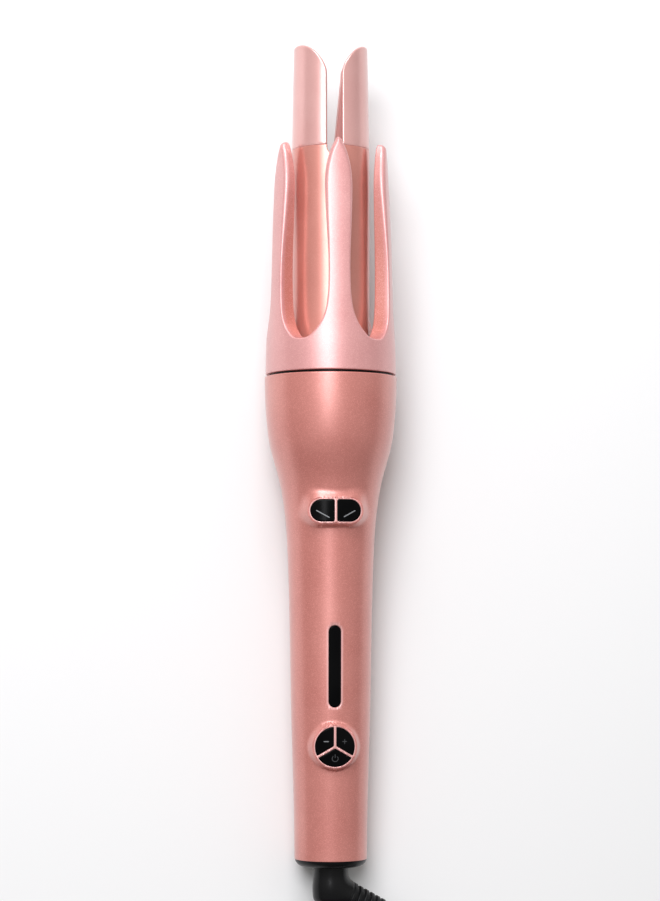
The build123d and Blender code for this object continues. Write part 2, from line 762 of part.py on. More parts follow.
RELIEF_LONG = RELIEF[1] - RELIEF[0]
RELIEF_RIBS = 9
relief_plane = Plane(CORNER + LEAD * RELIEF[0], x_dir=(0, 0, 1), z_dir=LEAD)
relief_outline = [(0, 0.02), (RELIEF_R[0], 0.02)]
for i in range(RELIEF_RIBS):
    a = 2.6 + i * 2.9
    r = RELIEF_R[0] + (RELIEF_R[1] - RELIEF_R[0]) * a / RELIEF_LONG
    relief_outline += [(r, a), (r - 0.7, a + 0.1), (r - 0.75, a + 0.9), (r - 0.1, a + 1.0)]
relief_outline += [(RELIEF_R[1], RELIEF_LONG), (0, RELIEF_LONG), (0, 0.02)]
with BuildPart() as strain_relief:
    with BuildSketch(Plane(relief_plane.origin, x_dir=relief_plane.x_dir, z_dir=relief_plane.y_dir * -1)):
        with BuildLine():
            Polyline(*relief_outline)
        make_face()
    revolve(axis=Axis(relief_plane.origin, LEAD))
keep(strain_relief.part, "strain_relief")

# ======================================================================
# How the tool lies on a table: on the bulge's rear and on the handle's end
# ======================================================================
with BuildLine() as rest_line:
    body_curve = Spline(stations(BODY))
reach = [body_curve.position_at(i / 400) for i in range(120, 401)]
TILT = math.atan(max((p.X - BODY[0][1]) / p.Y for p in reach))
HEIGHT = BODY[0][1] * math.cos(TILT)
REST = Location((0, 0, HEIGHT), (-(90 - math.degrees(TILT)), 0, 0))
CORD_PIECES = ["strain_relief"]

laid = {name: part.moved(REST) for name, part in pieces.items()}
box = Compound(children=[laid[n].moved(Location((0, 0, 0))) for n in laid if n not in CORD_PIECES]).bounding_box()
SHIFT = Location((0, -(box.min.Y + box.max.Y) / 2, 0))
print("tilt", round(math.degrees(TILT), 4), "axis height at s=0", round(HEIGHT, 4),
      "shift y", round(SHIFT.position.Y, 4), "box", box)

# ======================================================================
# Free cord, drawn where it lies: z = 0 is the table, y = 0 the handle's end
# ======================================================================
R = CORD_D / 2


def on_table(p):
    """A point of the standing tool, as it lies on the table."""
    c, s = math.cos(TILT), math.sin(TILT)
    return Vector(p.X, p.Z * c + p.Y * s, p.Z * s - p.Y * c + HEIGHT)


lead_end = on_table(CORNER + LEAD * RELIEF[1])
lead_dir = (lead_end - on_table(CORNER)).normalized()
COIL_C = (22.0, -111.0)
COIL_MEAN = 35.0
COIL_IN, COIL_OUT, COIL_H = 22.0, 48.0, 20.2
TIE_W = 10.0
ROUTE = [
    lead_end + lead_dir * 0.4,
    lead_end + lead_dir * 17.0,
    Vector(60.8, -49.6, 4.2),
    Vector(66.0, -69.0, 3.9),
    Vector(67.3, -91.0, 3.9),
    Vector(66.5, -113.0, 3.9),
]
radii = []
for a, b, c in zip(ROUTE, ROUTE[1:], ROUTE[2:]):
    turn = math.radians((b - a).get_angle(c - b))
    radii.append(0.45 * min((b - a).length, (c - b).length) / math.tan(turn / 2))
print("cord route radii", [round(x, 1) for x in radii], "runs", [round((b - a).length, 1) for a, b in zip(ROUTE, ROUTE[1:])])
with BuildPart() as cord_tube:
    with BuildLine() as cord_path:
        FilletPolyline(*ROUTE, radius=radii)
    with BuildSketch(Plane(ROUTE[0], z_dir=ROUTE[1] - ROUTE[0])):
        Circle(R)
    sweep()
cord_len = sum(e.length for e in cord_path.edges())
print("cord tube length", round(cord_len, 1), "volume", round(cord_tube.part.volume, 1), "expected",
      round(cord_len * math.pi * R * R, 1))

with BuildPart() as cord_coil:
    with BuildSketch(Plane.XZ.offset(-COIL_C[1])):
        with Locations((COIL_C[0] + (COIL_IN + COIL_OUT) / 2, COIL_H / 2)):
            RectangleRounded(COIL_OUT - COIL_IN, COIL_H, 3.0)
    revolve(axis=Axis((COIL_C[0], COIL_C[1], 0), (0, 0, 1)))
    # shallow groove that takes the tie
    with BuildSketch(Plane.XY.offset(-1)):
        with Locations((COIL_C[0] - COIL_MEAN, COIL_C[1])):
            Rectangle(40, TIE_W + 0.4)
    extrude(amount=COIL_H + 2, mode=Mode.SUBTRACT)
    with BuildSketch(Plane.XZ.offset(-COIL_C[1] - TIE_W / 2 - 0.2)):
        with Locations((COIL_C[0] - COIL_MEAN, COIL_H / 2)):
            RectangleRounded(COIL_OUT - COIL_IN - 2.2, COIL_H - 2.2, 2.6)
    extrude(amount=TIE_W + 0.4)

with BuildPart() as cord_tie:
    with BuildSketch(Plane.XZ.offset(-COIL_C[1] - TIE_W / 2)):
        with Locations((COIL_C[0] - COIL_MEAN, COIL_H / 2)):
            RectangleRounded(COIL_OUT - COIL_IN, COIL_H, 3.4)
            RectangleRounded(COIL_OUT - COIL_IN - 2.1, COIL_H - 2.1, 2.5, mode=Mode.SUBTRACT)
    extrude(amount=TIE_W)

# plug lying on the coil, along a chord of it
PLUG_Y = COIL_C[1] - 33.0
PLUG_Z = COIL_H + 7.6
PLUG_X = COIL_C[0] - 7.0
# the cord's last pass lies on top of the coil and runs on into the plug
TAIL = [Vector(COIL_C[0] + x, COIL_C[1] + y, z) for x, y, z in (
    (-23.4, 9.4, 16.9), (-16.8, 21.2, 22.2), (-7.0, 29.6, 23.6), (8.0, 33.6, 23.5), (23.0, 31.0, 23.5),
    (35.2, 24.0, 23.5), (42.8, 11.9, 23.5), (45.3, -2.2, 23.6), (41.6, -16.0, 24.5), (32.4, -27.0, 26.1),
    (19.4, -33.0, 27.6), (9.9, -33.0, 27.8))]
tail_radii = []
for a, b, c in zip(TAIL, TAIL[1:], TAIL[2:]):
    turn = math.radians((b - a).get_angle(c - b))
    tail_radii.append(0.45 * min((b - a).length, (c - b).length) / math.tan(turn / 2))
print("tail radii", [round(x, 1) for x in tail_radii])
with BuildPart() as cord_tail:
    with BuildLine() as tail_path:
        FilletPolyline(*TAIL, radius=tail_radii)
    with BuildSketch(Plane(TAIL[0], z_dir=TAIL[1] - TAIL[0])):
        Circle(R)
    sweep()

with BuildPart() as plug_body:
    with BuildSketch(Plane.YZ.offset(PLUG_X)):
        with Locations((PLUG_Y, PLUG_Z)):
            RectangleRounded(19.0, 15.0, 5.0)
    extrude(amount=-23.0)
    # stepped neck towards the cord, with the cord's relief moulded on
    with BuildSketch(Plane.YZ.offset(PLUG_X)):
        with Locations((PLUG_Y, PLUG_Z)):
            Circle(5.4)
    extrude(amount=16.0, taper=4)
with BuildPart() as plug_blades:
    with BuildSketch(Plane.YZ.offset(PLUG_X - 23.0)):
        with Locations((PLUG_Y - 6.35, PLUG_Z), (PLUG_Y + 6.35, PLUG_Z)):
            Rectangle(1.5, 6.35)
    extrude(amount=-16.0)

for name, part in (("cord_tube", cord_tube.part), ("cord_coil", cord_coil.part), ("cord_tie", cord_tie.part),
                   ("cord_tail", cord_tail.part), ("plug_body", plug_body.part), ("plug_blades", plug_blades.part)):
    part.label = name
    laid[name] = part

# ======================================================================
# Write every piece in the table's frame, with the origin under its middle
# ======================================================================
for name, part in laid.items():
    placed = part.moved(SHIFT)
    placed.label = name
    export_step(placed, "parts/" + name + ".step")
print(len(laid), "pieces")
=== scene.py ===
import json
import math

import bpy
import bmesh
import numpy as np
from mathutils import Matrix, Vector
from mathutils.geometry import delaunay_2d_cdt


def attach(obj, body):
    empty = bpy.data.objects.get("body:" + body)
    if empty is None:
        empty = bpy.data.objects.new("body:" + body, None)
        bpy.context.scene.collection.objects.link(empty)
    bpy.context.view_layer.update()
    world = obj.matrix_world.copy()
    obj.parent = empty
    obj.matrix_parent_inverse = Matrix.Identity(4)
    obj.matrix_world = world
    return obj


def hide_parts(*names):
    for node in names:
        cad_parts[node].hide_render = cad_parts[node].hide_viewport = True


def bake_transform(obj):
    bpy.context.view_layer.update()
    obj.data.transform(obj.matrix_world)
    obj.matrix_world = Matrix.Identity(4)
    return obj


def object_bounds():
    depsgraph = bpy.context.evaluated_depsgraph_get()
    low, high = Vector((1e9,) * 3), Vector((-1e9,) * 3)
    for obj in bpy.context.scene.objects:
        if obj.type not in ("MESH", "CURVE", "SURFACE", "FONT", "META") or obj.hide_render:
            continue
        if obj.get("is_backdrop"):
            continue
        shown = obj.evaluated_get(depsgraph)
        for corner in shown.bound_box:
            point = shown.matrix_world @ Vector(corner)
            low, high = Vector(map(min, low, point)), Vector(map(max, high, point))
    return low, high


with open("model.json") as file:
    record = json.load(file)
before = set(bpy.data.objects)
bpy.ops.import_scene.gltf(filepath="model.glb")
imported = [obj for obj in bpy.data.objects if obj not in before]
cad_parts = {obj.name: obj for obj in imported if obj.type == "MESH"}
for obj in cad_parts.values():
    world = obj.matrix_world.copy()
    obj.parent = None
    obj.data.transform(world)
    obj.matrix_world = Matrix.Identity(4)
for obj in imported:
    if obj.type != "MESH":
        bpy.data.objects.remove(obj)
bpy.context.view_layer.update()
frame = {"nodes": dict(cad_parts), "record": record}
COLLECTION = bpy.context.scene.collection

# ----------------------------------------------------------------------
# The tool's own frame: x to the right, y towards its back, s along the axis
# towards the tip, in millimetres, laid on the table as the CAD has it.
# ----------------------------------------------------------------------
TILT = math.radians(3.6989)
CT, ST = math.cos(TILT), math.sin(TILT)
HEIGHT, SHIFT = 14.869, -156.3669


def place(points):
    p = np.asarray(points, float).reshape(-1, 3)
    out = np.empty_like(p)
    out[:, 0] = p[:, 0]
    out[:, 1] = p[:, 2] * CT + p[:, 1] * ST + SHIFT
    out[:, 2] = p[:, 2] * ST - p[:, 1] * CT + HEIGHT
    return out / 1000.0


def turn_in(vector):
    x, y, s = vector
    return Vector((x, s * CT + y * ST, s * ST - y * CT))


def spline(points, per=14):
    """Dense points of a natural cubic spline through the given ones."""
    p = np.asarray(points, float)
    t = np.concatenate([[0], np.cumsum(np.linalg.norm(np.diff(p, axis=0), axis=1))])
    n = len(p)
    h = np.diff(t)
    a = np.zeros((n, n))
    r = np.zeros((n, p.shape[1]))
    a[0, 0] = a[-1, -1] = 1
    for i in range(1, n - 1):
        a[i, i - 1], a[i, i], a[i, i + 1] = h[i - 1], 2 * (h[i - 1] + h[i]), h[i]
        r[i] = 6 * ((p[i + 1] - p[i]) / h[i] - (p[i] - p[i - 1]) / h[i - 1])
    m = np.linalg.solve(a, r)
    out = []
    for i in range(n - 1):
        for k in range(per):
            u = t[i] + h[i] * k / per
            b, c = t[i + 1] - u, u - t[i]
            out.append((m[i] * b ** 3 + m[i + 1] * c ** 3) / (6 * h[i])
                       + (p[i] / h[i] - m[i] * h[i] / 6) * b + (p[i + 1] / h[i] - m[i + 1] * h[i] / 6) * c)
    out.append(p[-1])
    return np.array(out)


def profile(points):
    q = spline(points)
    return lambda s: np.interp(s, q[:, 0], q[:, 1])


def inside(points, loop):
    """Which points lie inside a closed loop."""
    p, q = np.asarray(points, float), np.asarray(loop, float)
    a, b = q, np.roll(q, -1, axis=0)
    found = np.zeros(len(p), bool)
    for (x0, y0), (x1, y1) in zip(a, b):
        if y0 == y1:
            continue
        cross = ((y0 > p[:, 1]) != (y1 > p[:, 1])) & (p[:, 0] < (x1 - x0) * (p[:, 1] - y0) / (y1 - y0) + x0)
        found ^= cross
    return found


def away(points, loop, closed=True):
    """Distance from each point to a loop of segments."""
    p, a = np.asarray(points, float), np.asarray(loop, float)
    b = np.roll(a, -1, axis=0)
    if not closed:
        a, b = a[:-1], b[:-1]
    best = np.full(len(p), 1e9)
    for (x0, y0), (x1, y1) in zip(a, b):
        dx, dy = x1 - x0, y1 - y0
        u = np.clip(((p[:, 0] - x0) * dx + (p[:, 1] - y0) * dy) / (dx * dx + dy * dy + 1e-12), 0, 1)
        best = np.minimum(best, np.hypot(p[:, 0] - x0 - u * dx, p[:, 1] - y0 - u * dy))
    return best


def resample(points, step, closed=False):
    p = np.asarray(points, float)
    if closed:
        p = np.vstack([p, p[:1]])
    t = np.concatenate([[0], np.cumsum(np.linalg.norm(np.diff(p, axis=0), axis=1))])
    n = max(2, int(math.ceil(t[-1] / step)))
    u = np.linspace(0, t[-1], n + 1)
    out = np.column_stack([np.interp(u, t, p[:, k]) for k in range(p.shape[1])])
    return out[:-1] if closed else out


def shifted(loop, distance, closed=True):
    """The loop moved to its right-hand side by a distance (outwards for a loop that runs anticlockwise)."""
    p = np.asarray(loop, float)
    if closed:
        d = np.roll(p, -1, axis=0) - np.roll(p, 1, axis=0)
    else:
        d = np.gradient(p, axis=0)
    n = np.column_stack([d[:, 1], -d[:, 0]])
    n /= np.linalg.norm(n, axis=1)[:, None] + 1e-12
    return p + n * distance


def soften(corners, radii, step):
    """A closed polygon with each corner rounded by its own radius, sampled every step."""
    p = np.asarray(corners, float)
    n = len(p)
    out = []
    for i in range(n):
        a, b, c = p[i - 1], p[i], p[(i + 1) % n]
        r = radii[i] if hasattr(radii, "__len__") else radii
        u, v = (a - b) / np.linalg.norm(a - b), (c - b) / np.linalg.norm(c - b)
        angle = math.acos(max(-1, min(1, float(u @ v))))
        if r <= 0 or angle > math.pi - 0.02:
            out.append(b[None])
            continue
        cut = r / math.tan(angle / 2)
        cut = min(cut, 0.49 * np.linalg.norm(a - b), 0.49 * np.linalg.norm(c - b))
        r = cut * math.tan(angle / 2)
        centre = b + (u + v) / np.linalg.norm(u + v) * (r / math.sin(angle / 2))
        p0, p1 = b + u * cut - centre, b + v * cut - centre
        a0, a1 = math.atan2(p0[1], p0[0]), math.atan2(p1[1], p1[0])
        turn = (a1 - a0 + math.pi) % (2 * math.pi) - math.pi
        k = max(3, int(abs(turn) * r / step) + 2)
        out.append(np.array([centre + r * np.array([math.cos(a0 + turn * j / k), math.sin(a0 + turn * j / k)])
                             for j in range(k + 1)]))
    raw = np.vstack(out)
    dense = []
    for i in range(len(raw)):
        a, b = raw[i], raw[(i + 1) % len(raw)]
        k = max(1, int(np.linalg.norm(b - a) / step))
        for j in range(k):
            dense.append(a + (b - a) * j / k)
    dense = np.array(dense)
    keep_row = np.linalg.norm(dense - np.roll(dense, 1, axis=0), axis=1) > 1e-5
    return dense[keep_row]


def triangles(outer, holes, free, clear=0.0, holes_open=True):
    """Triangles of the area inside outer and outside the holes, through all the free points.
    Returns points, faces, and a dict of the outer loop's and each hole's vertex numbers."""
    loops = [np.asarray(outer, float)] + [np.asarray(h, float) for h in holes]
    free = np.asarray(free, float).reshape(-1, 2)
    ok = inside(free, loops[0])
    for h in loops[1:]:
        ok &= ~inside(free, h)
    if clear:
        for q in loops:
            ok &= away(free, q) > clear
    free = free[ok]
    points, edges, spans = [], [], []
    for q in loops:
        start = len(points)
        points += [tuple(v) for v in q]
        spans.append((start, len(q)))
        edges += [(start + i, start + (i + 1) % len(q)) for i in range(len(q))]
    points += [tuple(v) for v in free]
    res = delaunay_2d_cdt([Vector(v) for v in points], edges, [], 0, 1e-6)
    verts, faces, orig = res[0], res[2], res[3]
    v = np.array([tuple(w) for w in verts], float)
    new = {}
    for i, olds in enumerate(orig):
        for o in olds:
            new[o] = i
        if olds:
            v[i] = points[olds[0]]
    f = np.array([list(x) for x in faces if len(x) == 3], int)
    mid = v[f].mean(axis=1)
    ok = inside(mid, loops[0])
    for h in loops[1:]:
        ok &= ~inside(mid, h)
    f = f[ok]
    area = (v[f[:, 1], 0] - v[f[:, 0], 0]) * (v[f[:, 2], 1] - v[f[:, 0], 1]) - (
        v[f[:, 2], 0] - v[f[:, 0], 0]) * (v[f[:, 1], 1] - v[f[:, 0], 1])
    f = f[np.abs(area) > 1e-10]
    rims = [[new[s + i] for i in range(n)] for s, n in spans]
    return v, f, rims


def smoothstep(a, b, x):
    t = np.clip((x - a) / (b - a), 0, 1)
    return t * t * (3 - 2 * t)


def smooth_max(a, b, k):
    h = np.clip(0.5 + 0.5 * (a - b) / k, 0, 1)
    return b * (1 - h) + a * h + k * h * (1 - h)


def edge_drop(d, r):
    """How far a surface falls away at distance d from an edge rounded by r."""
    d = np.clip(d, 0, r)
    return r - np.sqrt(np.maximum(r * r - (r - d) ** 2, 0))


class Mesh:
    """Collects points and faces, in the tool's own millimetres."""

    def __init__(self):
        self.v, self.f, self.n = [], [], 0

    def add(self, points, faces):
        start = self.n
        p = np.asarray(points, float).reshape(-1, 3)
        self.v.append(p)
        self.n += len(p)
        self.f += [tuple(int(i) + start for i in face) for face in faces]
        return start

    def ring_band(self, first, second, closed=True):
        """Quads between two equally long rows of vertex numbers."""
        n = len(first)
        for i in range(n if closed else n - 1):
            j = (i + 1) % n
            self.f.append((first[i], first[j], second[j], second[i]))

    def lathe(self, outline, centre=(0, 0), turn=96, closed=False, wave=None):
        """Surface of revolution about an axis parallel to s; outline is (radius, s)."""
        o = np.asarray(outline, float)
        rows = []
        for r, s in o:
            if r < 1e-6:
                rows.append([self.add([(centre[0], centre[1], s)], [])] * turn)
                continue
            a = np.arange(turn) / turn * 2 * math.pi
            rr = r if wave is None else r + wave(a, r, s)
            rows.append(list(range(self.add(np.column_stack(
                [centre[0] + rr * np.cos(a), centre[1] + rr * np.sin(a), np.full(turn, s)]), []), self.n)))
        pairs = list(zip(rows, rows[1:])) + ([(rows[-1], rows[0])] if closed else [])
        for a, b in pairs:
            for i in range(turn):
                j = (i + 1) % turn
                face = []
                for k in (a[i], a[j], b[j], b[i]):
                    if k not in face:
                        face.append(k)
                if len(face) > 2:
                    self.f.append(tuple(face))
        return rows


def build(name, mesh, materials, body, replaces=(), sharp=50, table=False, weld=1e-6, outward=True):
    v = np.vstack(mesh.v)
    me = bpy.data.meshes.new(name)
    me.from_pydata((v / 1000.0 if table else place(v)).tolist(), [], mesh.f)
    bm = bmesh.new()
    bm.from_mesh(me)
    bmesh.ops.remove_doubles(bm, verts=bm.verts, dist=weld)
    bmesh.ops.dissolve_degenerate(bm, edges=bm.edges, dist=1e-8)
    if outward:
        bmesh.ops.recalc_face_normals(bm, faces=bm.faces)
    bm.to_mesh(me)
    bm.free()
    me.validate()
    me.shade_smooth()
    me.set_sharp_from_angle(angle=math.radians(sharp))
    obj = bpy.data.objects.new(name, me)
    COLLECTION.objects.link(obj)
    for m in materials if isinstance(materials, (list, tuple)) else [materials]:
        me.materials.append(m)
    if body:
        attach(obj, body)
    if replaces:
        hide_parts(*replaces)
    return obj


# ----------------------------------------------------------------------
# Materials
# ----------------------------------------------------------------------
def srgb(r, g, b):
    def lin(c):
        c = c / 255.0
        return c / 12.92 if c <= 0.04045 else ((c + 0.055) / 1.055) ** 2.4
    return (lin(r), lin(g), lin(b), 1.0)


class Nodes:
    def __init__(self, name):
        self.m = bpy.data.materials.new(name)
        self.m.use_nodes = True
        self.t = self.m.node_tree
        self.bsdf = self.t.nodes["Principled BSDF"]
        self.where = self.t.nodes.new("ShaderNodeTexCoord").outputs["Object"]

    def set(self, **values):
        for k, v in values.items():
            self.bsdf.inputs[k.replace("_", " ")].default_value = v
        return self

    def new(self, kind, **props):
        n = self.t.nodes.new(kind)
        for k, v in props.items():
            setattr(n, k, v)
        return n

    def link(self, a, b):
        self.t.links.new(a, b)

    def noise(self, scale, detail=3.0, rough=0.5, stretch=None):
        n = self.new("ShaderNodeTexNoise")
        n.inputs["Scale"].default_value = scale
        n.inputs["Detail"].default_value = detail
        n.inputs["Roughness"].default_value = rough
        if stretch:
            mapping = self.new("ShaderNodeMapping")
            mapping.inputs["Scale"].default_value = stretch
            self.link(self.where, mapping.inputs["Vector"])
            self.link(mapping.outputs["Vector"], n.inputs["Vector"])
        else:
            self.link(self.where, n.inputs["Vector"])
        return n.outputs["Fac"]

    def cells(self, scale, feature="F1", out="Distance"):
        n = self.new("ShaderNodeTexVoronoi", feature=feature)
        n.inputs["Scale"].default_value = scale
        self.link(self.where, n.inputs["Vector"])
        return n.outputs[out]

    def ramp(self, source, stops, interpolation="LINEAR"):
        n = self.new("ShaderNodeValToRGB")
        n.color_ramp.interpolation = interpolation
        el = n.color_ramp.elements
        while len(el) < len(stops):
            el.new(0.5)
        for e, (pos, col) in zip(el, stops):
            e.position = pos
            e.color = col if hasattr(col, "__len__") else (col, col, col, 1)
        self.link(source, n.inputs["Fac"])
        return n.outputs["Color"]

    def mix(self, fac, a, b, kind="MIX"):
        n = self.new("ShaderNodeMix", data_type="RGBA", blend_type=kind)
        for socket, v in ((n.inputs[0], fac), (n.inputs[6], a), (n.inputs[7], b)):
            if hasattr(v, "links") or isinstance(v, bpy.types.NodeSocket):
                self.link(v, socket)
            else:
                socket.default_value = v
        return n.outputs[2]

    def span(self, source, low, high, out_low, out_high):
        n = self.new("ShaderNodeMapRange")
        n.inputs["From Min"].default_value, n.inputs["From Max"].default_value = low, high
        n.inputs["To Min"].default_value, n.inputs["To Max"].default_value = out_low, out_high
        self.link(source, n.inputs["Value"])
        return n.outputs["Result"]

    def bump(self, height, strength, distance, after=None):
        n = self.new("ShaderNodeBump")
        n.inputs["Strength"].default_value = strength
        n.inputs["Distance"].default_value = distance
        self.link(height, n.inputs["Height"])
        if after is not None:
            self.link(after, n.inputs["Normal"])
        return n.outputs["Normal"]

    def use(self, socket, source):
        self.link(source, self.bsdf.inputs[socket])
        return self


def pearl(name, base, deep, metal=0.4, rough=(0.32, 0.46), flake=0.4, coat=0.9, painted_light=None):
    """Satin pearl lacquer: fine flakes under a thin clear coat, and a faint orange peel."""
    k = Nodes(name)
    k.set(Metallic=metal, Specular_IOR_Level=0.8, Coat_Weight=coat, Coat_Roughness=0.3, Coat_IOR=1.6)
    cloud = k.noise(60.0, 4.0)
    flakes = k.cells(5200.0, out="Color")
    split = k.new("ShaderNodeSeparateColor")
    k.link(flakes, split.inputs["Color"])
    spark = k.ramp(split.outputs[0], [(0.0, 0.0), (0.62, 0.0), (0.95, 1.0)])
    body = k.mix(k.span(cloud, 0.3, 0.7, 0.0, 1.0), deep, base)
    # painted light: a per-point attribute mixes in this last colour as a painted highlight or painted shade
    if painted_light:
        depth = k.new("ShaderNodeAttribute")
        depth.attribute_name = "painted_light"
        body = k.mix(depth.outputs["Fac"], body, painted_light)
    lift = tuple(min(1.0, c * 1.45 + 0.08) for c in base[:3]) + (1.0,)
    fac = k.new("ShaderNodeMath", operation="MULTIPLY")
    fac.inputs[1].default_value = flake
    k.link(spark, fac.inputs[0])
    k.use("Base Color", k.mix(fac.outputs[0], body, lift))
    k.use("Roughness", k.span(split.outputs[1], 0.0, 1.0, rough[0], rough[1]))
    peel = k.noise(1100.0, 2.0)
    k.use("Normal", k.bump(peel, 0.05, 0.00012, k.bump(split.outputs[2], 0.05, 0.00003)))
    return k.m


def moulded(name, colour, rough, grain=2500.0, bump=0.10, depth=0.00004, spec=0.5, coat=0.0, vary=0.12):
    """Moulded plastic or rubber: a fine spark-eroded grain, with slight random changes of colour."""
    k = Nodes(name)
    k.set(Specular_IOR_Level=spec, Coat_Weight=coat, Coat_Roughness=0.08)
    cloud = k.noise(45.0, 4.0)
    low = tuple(c * (1 - vary) for c in colour[:3]) + (1.0,)
    high = tuple(min(1.0, c * (1 + vary) + 0.002) for c in colour[:3]) + (1.0,)
    k.use("Base Color", k.mix(k.span(cloud, 0.3, 0.7, 0.0, 1.0), low, high))
    fine = k.noise(grain, 2.0)
    k.use("Roughness", k.span(cloud, 0.25, 0.75, rough - 0.05, rough + 0.05))
    k.use("Normal", k.bump(fine, bump, depth))
    return k.m


def metal(name, colour, rough, stretch=(1, 1, 1), scale=700.0):
    k = Nodes(name)
    k.set(Metallic=1.0)
    grain = k.noise(scale, 3.0, 0.6, stretch)
    low = tuple(c * 0.86 for c in colour[:3]) + (1.0,)
    k.use("Base Color", k.mix(k.span(grain, 0.3, 0.7, 0.0, 1.0), low, colour))
    k.use("Roughness", k.span(grain, 0.3, 0.7, rough - 0.06, rough + 0.08))
    k.use("Normal", k.bump(grain, 0.12, 0.00003))
    return k.m


# PEARL's last colour, a pale pink, is painted highlight round the key holes of the front shell
PEARL = pearl("pearl_pink", srgb(211, 131, 120), srgb(202, 119, 108), metal=0.34, painted_light=srgb(238, 184, 180))
# RING's last colour, a deeper coral, is painted shade on the claws' radial walls
RING = pearl("pearl_pink_ring", srgb(222, 157, 154), srgb(215, 147, 144), metal=0.28, rough=(0.38, 0.48), coat=0.8, painted_light=srgb(205, 126, 112))
BARREL = pearl("rose_barrel", srgb(224, 147, 133), srgb(216, 137, 123), metal=0.45, rough=(0.28, 0.36), flake=0.16, coat=0.5)
FORK = pearl("rose_fork", srgb(229, 174, 168), srgb(222, 164, 158), metal=0.4, rough=(0.28, 0.36), flake=0.12, coat=0.7)
GLOSS = moulded("black_gloss", (0.0016, 0.0016, 0.0018, 1), 0.14, grain=300, bump=0.02, spec=0.05)
SATIN = moulded("black_satin", (0.005, 0.005, 0.0055, 1), 0.34, bump=0.08, spec=0.22)
NECK = moulded("black_neck", (0.004, 0.004, 0.0045, 1), 0.26, bump=0.05, spec=0.25)
RUBBER = moulded("relief_rubber", (0.005, 0.005, 0.0055, 1), 0.40, bump=0.12, spec=0.25)
CORD = moulded("cord_black", (0.008, 0.008, 0.0085, 1), 0.44, grain=1500, bump=0.16, spec=0.3)
STRAP = moulded("tie_black", (0.016, 0.016, 0.017, 1), 0.75, grain=1100, bump=0.6, depth=0.0003)
MARK = moulded("key_mark", srgb(128, 130, 132), 0.5, vary=0.04)
MARK_DIM = moulded("key_mark_dim", srgb(52, 53, 55), 0.5, vary=0.04)
PCB = moulded("pcb_green", (0.012, 0.075, 0.032, 1), 0.35, grain=900, bump=0.05)
DARK = moulded("component_dark", (0.018, 0.018, 0.022, 1), 0.5)
PPS = moulded("pps_brown", (0.030, 0.024, 0.020, 1), 0.55)
POM = moulded("pom_white", (0.70, 0.70, 0.66, 1), 0.38)
CERAMIC = moulded("ceramic_white", (0.62, 0.60, 0.55, 1), 0.6)
STEEL = metal("steel", (0.60, 0.60, 0.62, 1), 0.28)
ZINC = metal("zinc_steel", (0.48, 0.50, 0.52, 1), 0.36)
BRASS = metal("brass", (0.74, 0.54, 0.24, 1), 0.24)
BRONZE = metal("bronze", (0.50, 0.32, 0.15, 1), 0.42)
ALU = metal("aluminium", (0.72, 0.73, 0.74, 1), 0.34, (1, 0.05, 1))

NODE_MATERIALS = {
    "pearl_pink": PEARL, "rose_barrel": BARREL, "black_gloss": GLOSS, "black_satin": SATIN, "cord_black": CORD,
    "pcb": PCB, "parts_dark": DARK, "steel": STEEL, "motor_steel": ZINC, "brass": BRASS, "bronze": BRONZE,
    "aluminium": ALU, "ceramic": CERAMIC, "pom_white": POM, "pps_brown": PPS,
}
for part in frame["record"]["subparts"]:
    node = frame["nodes"].get(part["node"])
    if node:
        node.data.materials.clear()
        node.data.materials.append(NODE_MATERIALS[part["material_slot"]])
        node.data.shade_smooth()
        node.data.set_sharp_from_angle(angle=math.radians(35))

# ----------------------------------------------------------------------
# Camera: straight over the handle, a little to its left
# ----------------------------------------------------------------------
CAM_OVER, CAM_AIM, CAM_FAR, CAM_SIDE = 102.0, 134.5, 1.0, 6.0
station = lambda s: Vector(place([(0, 0, s)])[0])
up = turn_in((0, 0, 1))
side = math.radians(CAM_SIDE)
out = (math.cos(side) * turn_in((0, -1, 0)) + math.sin(side) * Vector((-1, 0, 0))).normalized()
eye = station(CAM_OVER) + out * CAM_FAR
look = (station(CAM_AIM) - eye).normalized()
right = look.cross(up).normalized()
above = right.cross(look).normalized()
camera_data = bpy.data.cameras.new("camera")
camera_data.sensor_width = 36.0
camera_data.lens = 96.9
camera_data.shift_x = -0.0008
camera_data.shift_y = 0.0895
camera = bpy.data.objects.new("camera", camera_data)
camera.matrix_world = Matrix((
    (right.x, above.x, -look.x, eye.x), (right.y, above.y, -look.y, eye.y),
    (right.z, above.z, -look.z, eye.z), (0, 0, 0, 1)))
COLLECTION.objects.link(camera)
bpy.context.scene.camera = camera

# ----------------------------------------------------------------------
# Free cord: route points in millimetres from the handle's end on the table
# ----------------------------------------------------------------------
CORD_R = 3.25
CORNER = (0.0, 0.0, -12.2)
lead_a, lead_b = math.radians(26.0), math.radians(7.5)
LEAD = np.array((math.cos(lead_a) * math.cos(lead_b), math.sin(lead_b), -math.sin(lead_a) * math.cos(lead_b)))


def lead_point(along):
    """A point on the strain relief's axis, in the table frame, millimetres."""
    return place([np.array(CORNER) + LEAD * along])[0] * 1000 - np.array((0, SHIFT, 0))


COIL = (22.0, -111.0)
LAYER = (3.9, 10.4, 16.9)
route = [lead_point(38.2), lead_point(55.0), (60.8, -49.6, 4.2), (66.0, -69.0, 3.9), (67.3, -91.0, 3.9)]
exit_point = [c / 1000 for c in lead_point(38.0) + np.array((0, SHIFT, 0))]
TURN_STEPS = 18


def coil_point(angle, radius, z):
    """Clockwise seen from above; 0 is the coil's right-hand side."""
    grow = 1 / (0.75 + 0.25 * math.cos(2 * math.pi / TURN_STEPS))
    a = -math.radians(angle)
    return (COIL[0] + radius * grow * math.cos(a), COIL[1] + radius * grow * math.sin(a), z)


